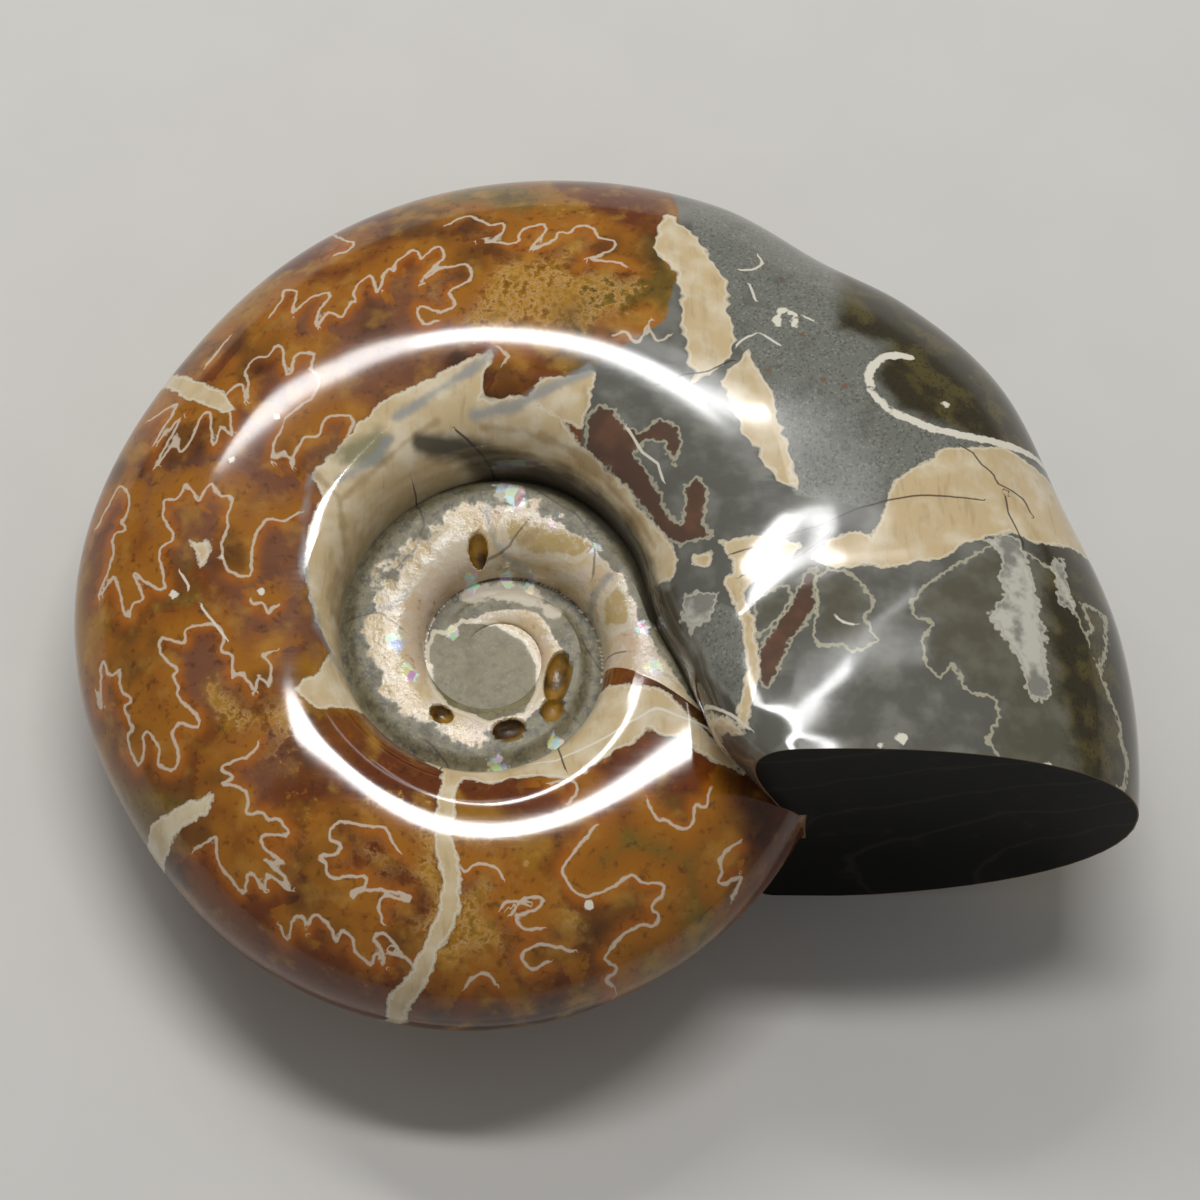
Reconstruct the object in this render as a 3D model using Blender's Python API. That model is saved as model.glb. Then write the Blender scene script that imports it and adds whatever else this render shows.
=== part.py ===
"""Polished ammonite: a coiled fossil shell, ground smooth, with its body chamber sawn off flat.

The shell is one stone, so the part is one solid. It is modelled round its coil axis and then laid on its
lower flank. Lengths in the named values are millimetres, angles are degrees, and growth is counted in turns:
0 is the sawn end of the body chamber, -1 is the same side one whorl further in, and so on to the centre.
"""

import math

import bmesh
import bpy
from mathutils import Matrix, Vector

MM = 0.001

# Coil: (turn, radius) of the outer rim, seen along the axis. The widest diameter is 80 mm.
RIM_RADIUS = [
    (-1.0, 25.2), (-0.875, 26.0), (-0.8, 26.8), (-0.75, 27.2), (-0.69, 27.6), (-0.61, 28.3), (-0.55, 30.1),
    (-0.5, 31.7), (-0.417, 34.0), (-0.35, 37.1), (-0.3, 38.8), (-0.224, 40.3), (-0.188, 40.0), (-0.16, 41.5),
    (-0.125, 42.9), (-0.085, 42.9), (-0.045, 45.0), (0.0, 47.1),
]
RIM_GROWTH_INSIDE = 2.3
START_ANGLE = -15.4

# Umbilical seam, where a whorl meets the one before it: (turn, radius), and how far it runs ahead of the rim.
SEAM_RADIUS = [
    (-1.0, 8.0), (-0.79, 9.6), (-0.54, 10.9), (-0.4, 12.4), (-0.3, 13.0), (-0.2, 11.9), (-0.12, 11.6),
    (-0.06, 14.7), (-0.03, 18.5), (-0.012, 21.8), (0.0, 23.6),
]
SEAM_LEAD = [
    (-1.0, 0.0), (-0.55, 0.0), (-0.3, 12.0), (-0.2, 21.0), (-0.12, 24.5), (-0.06, 24.5), (-0.03, 25.0),
    (-0.012, 20.5), (0.0, 16.6),
]
SEAM_GROWTH_INSIDE = 2.35

# Cross-section of a whorl: its thickness, where it is thickest, and how square it is on either side of that.
HALF_THICKNESS = [
    (-1.0, 7.43), (-0.85, 7.7), (-0.75, 8.1), (-0.65, 8.9), (-0.59, 9.2), (-0.5, 9.35), (-0.44, 9.6),
    (-0.38, 10.3), (-0.3, 11.5), (-0.22, 12.1), (-0.125, 12.48), (-0.1, 12.75), (-0.08, 13.05), (-0.055, 13.75),
    (-0.03, 14.4), (0.0, 14.84),
]
CREST_SHARE = [
    (-1.0, 0.28), (-0.64, 0.27), (-0.54, 0.18), (-0.42, 0.17), (-0.34, 0.23), (-0.26, 0.27), (-0.2, 0.293),
    (-0.165, 0.315), (-0.13, 0.31), (-0.08, 0.28), (-0.05, 0.235), (0.0, 0.06),
]
SHOULDER_OVERHANG = [(-0.08, 0.0), (0.0, 1.8)]
FLANK_SQUARENESS = 2.1
WALL_SQUARENESS = 2.5

# Inner whorls: a channel of matrix along each seam, and the plug of matrix that they start from.
CHANNEL_DEPTH = 0.6
CHANNEL_START = 0.62
CHANNEL_EDGE = 0.14
FIRST_TURN = -2.55
PLUG_HEIGHT = 2.2

# Open chambers worn into the inner whorls: x and y from the coil axis, length, width, direction, depth.
OPEN_CHAMBERS = [
    (4.45, -2.0, 4.2, 1.8, 80.0, 1.1),
    (4.1, -4.5, 2.0, 1.5, 60.0, 1.0),
    (1.05, -6.1, 2.4, 1.6, 12.0, 1.0),
    (-3.7, -5.0, 1.8, 1.3, -30.0, 0.9),
    (-1.0, 6.8, 1.9, 1.2, 90.0, 0.9),
]

# How the finished shell lies on its flank: turned about X and Y, with the places it rests on worn flat.
REST_ABOUT_X = -2.4
REST_ABOUT_Y = 4.8
WORN_FLAT = 0.4

# Mesh density.
ROWS_PER_TURN = 88
WALL_COLUMNS = 7
HALF_COLUMNS = 14
NEXT_SEAM = WALL_COLUMNS / HALF_COLUMNS


def mix(low, high, share):
    return low + (high - low) * share


def ease(x):
    x = min(max(x, 0.0), 1.0)
    return x * x * (3.0 - 2.0 * x)


def along(keys, turn):
    """A smooth curve through (turn, value) keys."""
    if turn <= keys[0][0]:
        return keys[0][1]
    if turn >= keys[-1][0]:
        return keys[-1][1]
    i = next(n for n in range(1, len(keys)) if turn <= keys[n][0])
    (t0, v0), (t1, v1) = keys[i - 1], keys[i]

    def slope(n):
        a, b = keys[max(n - 1, 0)], keys[min(n + 1, len(keys) - 1)]
        return (b[1] - a[1]) / (b[0] - a[0])

    span = t1 - t0
    x = (turn - t0) / span
    return (
        v0 * (1 + 2 * x) * (1 - x) ** 2
        + v1 * x * x * (3 - 2 * x)
        + slope(i - 1) * span * x * (1 - x) ** 2
        - slope(i) * span * x * x * (1 - x)
    )


def rim_radius(turn):
    if turn < -1.0:
        return RIM_RADIUS[0][1] * RIM_GROWTH_INSIDE ** (turn + 1.0)
    return along(RIM_RADIUS, turn)


def seam_radius(turn):
    if turn < -1.0:
        return SEAM_RADIUS[0][1] * SEAM_GROWTH_INSIDE ** (turn + 1.0)
    return along(SEAM_RADIUS, turn)


def half_thickness(turn):
    if turn < -1.0:
        return HALF_THICKNESS[0][1] * rim_radius(turn) / RIM_RADIUS[0][1]
    return along(HALF_THICKNESS, turn)


def crest_radius(turn):
    return mix(seam_radius(turn), rim_radius(turn), along(CREST_SHARE, turn))


def channel(turn, radius):
    """Depth of the matrix channel that runs along the outer side of the visible part of an inner whorl."""
    share = (radius - seam_radius(turn)) / (seam_radius(turn + 1.0) - seam_radius(turn))
    return CHANNEL_DEPTH * ease((share - CHANNEL_START) / CHANNEL_EDGE) * ease(-(turn + 1.0) / 0.15)


def seam_height(turn):
    """The seam lies in the channel on the flank of the whorl before it."""
    before, radius = turn - 1.0, seam_radius(turn)
    if before < FIRST_TURN:
        return PLUG_HEIGHT
    height = section(before, bearing_at(before, radius))[1]
    return max(height - channel(before, radius), PLUG_HEIGHT)


def quarter(angle, squareness):
    """(share across, share up) on a quarter of a superellipse, angle from 0 at the crest to 90 at its foot."""
    a = math.radians(angle)
    return math.sin(a) ** (2.0 / squareness), max(math.cos(a), 0.0) ** (2.0 / squareness)


def section(turn, bearing):
    """(radius, height) on a whorl's upper half: bearing -90 is the seam, 0 the crest and 90 the rim."""
    crest, top = crest_radius(turn), half_thickness(turn)
    if bearing < 0:
        across, up = quarter(-bearing, WALL_SQUARENESS)
        radius = mix(crest, seam_radius(turn), across)
        radius -= along(SHOULDER_OVERHANG, turn) * 1.75 * across * up
        return radius, mix(seam_height(turn), top, up)
    across, up = quarter(bearing, FLANK_SQUARENESS)
    return mix(crest, rim_radius(turn), across), top * up


def bearing_at(turn, radius):
    """The bearing at which a whorl's upper half reaches a radius."""
    crest = crest_radius(turn)
    if radius < crest:
        share = (crest - radius) / (crest - seam_radius(turn))
        return -math.degrees(math.asin(min(share, 1.0) ** (WALL_SQUARENESS / 2.0)))
    share = (radius - crest) / (rim_radius(turn) - crest)
    return math.degrees(math.asin(min(share, 1.0) ** (FLANK_SQUARENESS / 2.0)))


CUT_OFFSET = RIM_RADIUS[-1][1] * math.sin(math.radians(-START_ANGLE))
CUT_SEAM_RADIUS = SEAM_RADIUS[-1][1]


def cut_lead(radius):
    """How far ahead of the rim the saw cut is at a radius: the cut is straight and misses the axis."""
    return math.degrees(math.asin(CUT_OFFSET / radius)) + START_ANGLE


def lead(turn, radius):
    """Angle by which a rib of the mesh runs ahead of a straight radial line."""
    seam, rim = seam_radius(turn), rim_radius(turn)
    if turn < -1.0:
        return seam_lead(turn + 1.0) * (radius - seam) / (seam_radius(turn + 1.0) - seam)
    share = (radius - seam) / (rim - seam)
    across_cut = cut_lead(mix(CUT_SEAM_RADIUS, RIM_RADIUS[-1][1], share))
    own = seam_lead(turn) * across_cut / cut_lead(CUT_SEAM_RADIUS)
    if turn > -0.75:
        return own
    if radius < CUT_SEAM_RADIUS:
        under = seam_lead(0.0) * (radius - seam) / (CUT_SEAM_RADIUS - seam)
    else:
        under = cut_lead(radius)
    return own + under * (1.0 - ease((turn + 1.0) / 0.25))


def seam_lead(turn):
    """How far the seam runs ahead of the rim. At the sawn end, the cut settles it."""
    if turn < SEAM_LEAD[-1][0]:
        return along(SEAM_LEAD, turn)
    return cut_lead(CUT_SEAM_RADIUS)


def shell_point(turn, bearing, side):
    """A point of the coiled shell. side is 1 on the upper flank and -1 on the lower."""
    radius, height = section(turn, bearing)
    angle = math.radians(START_ANGLE - 360.0 * turn - lead(turn, radius))
    if turn <= -1.0:
        height = max(height - channel(turn, radius), PLUG_HEIGHT)
    return Vector((radius * math.cos(angle), radius * math.sin(angle), side * height))


def whorl_bearing(turn, column):
    """Bearing of a column: column 0 is the seam and 1 the rim. The next whorl's seam is on NEXT_SEAM."""
    if turn <= -1.0:
        covered = bearing_at(turn, seam_radius(turn + 1.0))
    else:
        even = mix(-90.0, 90.0, NEXT_SEAM)
        covered = mix(bearing_at(-1.0, CUT_SEAM_RADIUS), even, ease((turn + 1.0) / 0.3))
    if column < NEXT_SEAM:
        return mix(-90.0, covered, column / NEXT_SEAM)
    return mix(covered, 90.0, (column - NEXT_SEAM) / (1.0 - NEXT_SEAM))


def add_inner_whorls(bm, side):
    """The part of the inner whorls that shows in the umbilicus, on one side."""
    rows = round((-1.0 - FIRST_TURN) * ROWS_PER_TURN)
    made = bmesh.ops.create_grid(bm, x_segments=rows, y_segments=WALL_COLUMNS, size=1.0)["verts"]
    for vert in made:
        turn = -1.0 - (rows - round((vert.co.x + 1.0) / 2.0 * rows)) / ROWS_PER_TURN
        column = NEXT_SEAM * (vert.co.y + 1.0) / 2.0
        vert.co = shell_point(turn, whorl_bearing(turn, column), side)


def add_last_whorl(bm):
    """The last whorl, whose whole outside shows, from the upper seam over the rim to the lower seam."""
    made = bmesh.ops.create_grid(bm, x_segments=ROWS_PER_TURN, y_segments=2 * HALF_COLUMNS, size=1.0)
    for vert in made["verts"]:
        turn = (vert.co.x - 1.0) / 2.0
        side = 1.0 if vert.co.y >= 0.0 else -1.0
        vert.co = shell_point(turn, whorl_bearing(turn, 1.0 - abs(vert.co.y)), side)


def coiled_shell():
    """The whole shell round its coil axis, closed at the saw cut and at the plug of the umbilicus."""
    bm = bmesh.new()
    add_inner_whorls(bm, 1.0)
    add_inner_whorls(bm, -1.0)
    add_last_whorl(bm)
    bmesh.ops.remove_doubles(bm, verts=bm.verts, dist=0.002)
    open_edges = [e for e in bm.edges if e.is_boundary]
    bmesh.ops.holes_fill(bm, edges=open_edges, sides=0)
    bmesh.ops.recalc_face_normals(bm, faces=bm.faces)
    return bm


def resting_matrix(bm):
    """Turns the shell onto its lower flank, with the middle of its footprint over the origin."""
    rest = Matrix.Rotation(math.radians(REST_ABOUT_X), 4, "X") @ Matrix.Rotation(
        math.radians(-REST_ABOUT_Y), 4, "Y"
    )
    spots = [rest @ v.co for v in bm.verts]
    low = Vector([min(s[i] for s in spots) for i in range(3)])
    high = Vector([max(s[i] for s in spots) for i in range(3)])
    middle = (low + high) / 2
    return Matrix.Translation((-middle.x, -middle.y, -low.z - WORN_FLAT)) @ rest


def wear_flat(bm):
    """Takes off what is below the surface that the shell lies on."""
    everything = bm.verts[:] + bm.edges[:] + bm.faces[:]
    cut = bmesh.ops.bisect_plane(
        bm, geom=everything, plane_co=(0, 0, 0), plane_no=(0, 0, -1), clear_outer=True
    )
    edges = [e for e in cut["geom_cut"] if isinstance(e, bmesh.types.BMEdge)]
    bmesh.ops.holes_fill(bm, edges=edges, sides=0)
    bmesh.ops.recalc_face_normals(bm, faces=bm.faces)


def height_at(x, y):
    """Height of the upper side of the inner whorls over the middle plane."""
    radius = math.hypot(x, y)
    turn = (START_ANGLE - math.degrees(math.atan2(y, x))) / 360.0
    turn -= math.ceil(turn)
    while seam_radius(turn) > radius and turn > FIRST_TURN:
        turn -= 1.0
    return max(section(turn, bearing_at(turn, radius))[1], PLUG_HEIGHT)


def finish_mesh(bm, name):
    bmesh.ops.scale(bm, vec=(MM, MM, MM), verts=bm.verts)
    mesh = bpy.data.meshes.new(name)
    bm.to_mesh(mesh)
    bm.free()
    mesh.shade_smooth()
    mesh.set_sharp_from_angle(angle=math.radians(50.0))
    return mesh


def add_chamber_cutter(shell, collection, rest, number, chamber):
    """An ellipsoid that takes one open chamber out of the shell."""
    x, y, length, width, direction, depth = chamber
    bm = bmesh.new()
    bmesh.ops.create_icosphere(bm, subdivisions=2, radius=1.0)
    place = Matrix.Translation((x, y, height_at(x, y))) @ Matrix.Rotation(math.radians(direction), 4, "Z")
    size = Matrix.Diagonal((length / 2, width / 2, depth, 1.0))
    bmesh.ops.transform(bm, matrix=rest @ place @ size, verts=bm.verts)
    cutter = bpy.data.objects.new(f"chamber_{number}", finish_mesh(bm, f"chamber_{number}"))
    cutter.hide_render = True
    cutter.display_type = "WIRE"
    collection.objects.link(cutter)
    hollow = shell.modifiers.new(cutter.name, "BOOLEAN")
    hollow.operation = "DIFFERENCE"
    hollow.object = cutter


def stone_material():
    material = bpy.data.materials.new("polished_fossil")
    material.use_nodes = True
    shader = material.node_tree.nodes["Principled BSDF"]
    shader.inputs["Base Color"].default_value = (0.26, 0.13, 0.045, 1.0)
    shader.inputs["Roughness"].default_value = 0.2
    shader.inputs["Metallic"].default_value = 0.0
    return material


def clear_scene():
    for obj in list(bpy.data.objects):
        bpy.data.objects.remove(obj)


def add_collection(name):
    collection = bpy.data.collections.new(name)
    bpy.context.scene.collection.children.link(collection)
    return collection


def main():
    clear_scene()
    part, cutters = add_collection("ammonite_fossil"), add_collection("cutters")
    bm = coiled_shell()
    rest = resting_matrix(bm)
    bmesh.ops.transform(bm, matrix=rest, verts=bm.verts)
    wear_flat(bm)
    shell = bpy.data.objects.new("ammonite", finish_mesh(bm, "ammonite"))
    shell.data.materials.append(stone_material())
    part.objects.link(shell)
    for number, chamber in enumerate(OPEN_CHAMBERS):
        add_chamber_cutter(shell, cutters, rest, number, chamber)


main()
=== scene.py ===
"""Looks of a polished ammonite: the coiled shell, ground and lapped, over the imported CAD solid.

The shell is modelled round its coil axis in millimetres, then laid on its lower flank where the CAD solid
lies. Growth is counted in turns: 0 is the sawn end of the body chamber, and -1 is the same side one whorl
further in. x and y in the tables of markings are millimetres from the coil axis, seen from above.
"""

import functools
import math

import bmesh
import bpy
import numpy as np
from mathutils import Matrix, Quaternion, Vector


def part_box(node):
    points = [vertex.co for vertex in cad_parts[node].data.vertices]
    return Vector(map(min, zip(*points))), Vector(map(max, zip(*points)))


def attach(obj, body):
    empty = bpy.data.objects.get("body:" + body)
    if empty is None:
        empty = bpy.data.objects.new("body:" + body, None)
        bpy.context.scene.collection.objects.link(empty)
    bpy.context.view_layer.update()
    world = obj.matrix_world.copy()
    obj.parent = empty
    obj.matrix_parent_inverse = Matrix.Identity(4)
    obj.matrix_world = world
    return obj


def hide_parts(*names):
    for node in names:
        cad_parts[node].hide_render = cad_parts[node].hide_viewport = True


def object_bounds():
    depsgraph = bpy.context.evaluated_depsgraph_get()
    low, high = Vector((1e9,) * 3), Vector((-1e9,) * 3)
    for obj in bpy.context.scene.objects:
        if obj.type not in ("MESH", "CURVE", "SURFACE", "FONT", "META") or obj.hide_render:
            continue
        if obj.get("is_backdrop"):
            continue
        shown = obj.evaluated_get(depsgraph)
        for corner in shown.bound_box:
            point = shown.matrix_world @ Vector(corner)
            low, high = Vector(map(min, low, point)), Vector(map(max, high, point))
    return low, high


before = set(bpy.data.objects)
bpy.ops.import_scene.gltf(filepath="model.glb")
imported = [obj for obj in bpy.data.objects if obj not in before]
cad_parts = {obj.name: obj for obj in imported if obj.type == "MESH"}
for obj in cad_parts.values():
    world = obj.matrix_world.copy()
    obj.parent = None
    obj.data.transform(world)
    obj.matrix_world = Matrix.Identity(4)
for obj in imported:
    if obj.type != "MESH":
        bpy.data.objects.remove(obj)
CAD_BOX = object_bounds()

bl_info = {
    "name": "Polished Ammonite",
    "version": (1, 0, 0),
    "blender": (4, 5, 0),
    "location": "3D View > Sidebar > Ammonite",
    "description": "Builds a polished ammonite shell with its markings, and a studio stage",
    "category": "Add Mesh",
}

MM = 0.001

# ---------------------------------------------------------------- form of the coil (mm, degrees, turns)

RIM_RADIUS = [
    (-1.0, 25.2), (-0.875, 26.0), (-0.8, 26.8), (-0.75, 27.2), (-0.69, 27.6), (-0.61, 28.3), (-0.55, 30.1),
    (-0.5, 31.7), (-0.417, 34.0), (-0.35, 37.1), (-0.3, 38.8), (-0.224, 40.3), (-0.188, 40.0), (-0.16, 41.5),
    (-0.125, 42.9), (-0.085, 42.9), (-0.045, 45.0), (0.0, 47.1),
]
RIM_GROWTH_INSIDE = 2.3
START_ANGLE = -15.4
SEAM_RADIUS = [
    (-1.0, 8.0), (-0.79, 9.6), (-0.54, 10.9), (-0.4, 12.4), (-0.3, 13.0), (-0.2, 11.9), (-0.12, 11.6),
    (-0.06, 14.7), (-0.03, 18.5), (-0.012, 21.8), (0.0, 23.6),
]
SEAM_LEAD = [
    (-1.0, 0.0), (-0.55, 0.0), (-0.3, 12.0), (-0.2, 21.0), (-0.12, 24.5), (-0.06, 24.5), (-0.03, 25.0),
    (-0.012, 20.5), (0.0, 16.6),
]
SEAM_GROWTH_INSIDE = 2.35
HALF_THICKNESS = [
    (-1.0, 7.43), (-0.85, 7.7), (-0.75, 8.1), (-0.65, 8.9), (-0.59, 9.2), (-0.5, 9.35), (-0.44, 9.6),
    (-0.38, 10.3), (-0.3, 11.5), (-0.22, 12.1), (-0.125, 12.48), (-0.1, 12.75), (-0.08, 13.05),
    (-0.055, 13.75), (-0.03, 14.4), (0.0, 14.84),
]
CREST_SHARE = [
    (-1.0, 0.28), (-0.64, 0.27), (-0.54, 0.18), (-0.42, 0.17), (-0.34, 0.23), (-0.26, 0.27), (-0.2, 0.293),
    (-0.165, 0.315), (-0.13, 0.31), (-0.08, 0.28), (-0.05, 0.235), (0.0, 0.06),
]
SHOULDER_OVERHANG = [(-0.08, 0.0), (0.0, 1.8)]
OVERHANG_TO_PEAK = 1.75
FLANK_SQUARENESS = 2.1
WALL_SQUARENESS = 2.5
CHANNEL_DEPTH = 0.6
CHANNEL_START = [(-2.3, 0.6), (-1.9, 0.7), (-1.6, 0.84), (-1.0, 0.86)]
CHANNEL_EDGE = 0.1
CHANNEL_FADE = 0.15
FIRST_TURN = -2.55
PLUG_HEIGHT = 2.2
SAWN_RIM = 0.25
REST_ABOUT_X = -2.4
REST_ABOUT_Y = 4.8

# Open chambers of the inner whorls: x, y, length, width, direction, depth.
OPEN_CHAMBERS = [
    (4.45, -2.0, 4.2, 1.8, 80.0, 1.1), (4.1, -4.5, 2.0, 1.5, 60.0, 1.0), (1.05, -6.1, 2.4, 1.6, 12.0, 1.0),
    (-3.7, -5.0, 1.8, 1.3, -30.0, 0.9), (-1.1, 7.3, 2.2, 1.4, 90.0, 0.9),
]

# Every open chamber and plug lies within this radius, and the middle of the sawn end lies beyond it.
CORE_REACH = 10.0

# Mesh: rows to a turn, then columns from seam to rim. The upper last whorl has twice the rows, for its
# sutures. The fades are the turns over which one way of placing rows or columns hands over to the next.
ROWS_PER_TURN = 312
UPPER_COLUMNS = 100
LOWER_COLUMNS = 30
NEXT_SEAM = 0.4
CUT_FADE = 0.25
COVERED_FADE = 0.3
SAME_ROW = 1e-4
WELD_DISTANCE = 0.002
SHARP_EDGE = 50.0

# How the map of markings is read: it turns by an angle from mid height down to a depth, the markings of the
# last chamber start at a turn, and no distance to a marking counts beyond the last number.
MAP_TURN_BELOW = 25.0
MAP_TURN_DEPTH = 9.0
LAST_CHAMBER_TURN = -0.42
FAR = 6.0

# ---------------------------------------------------------------- markings (mm from the coil axis)

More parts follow.
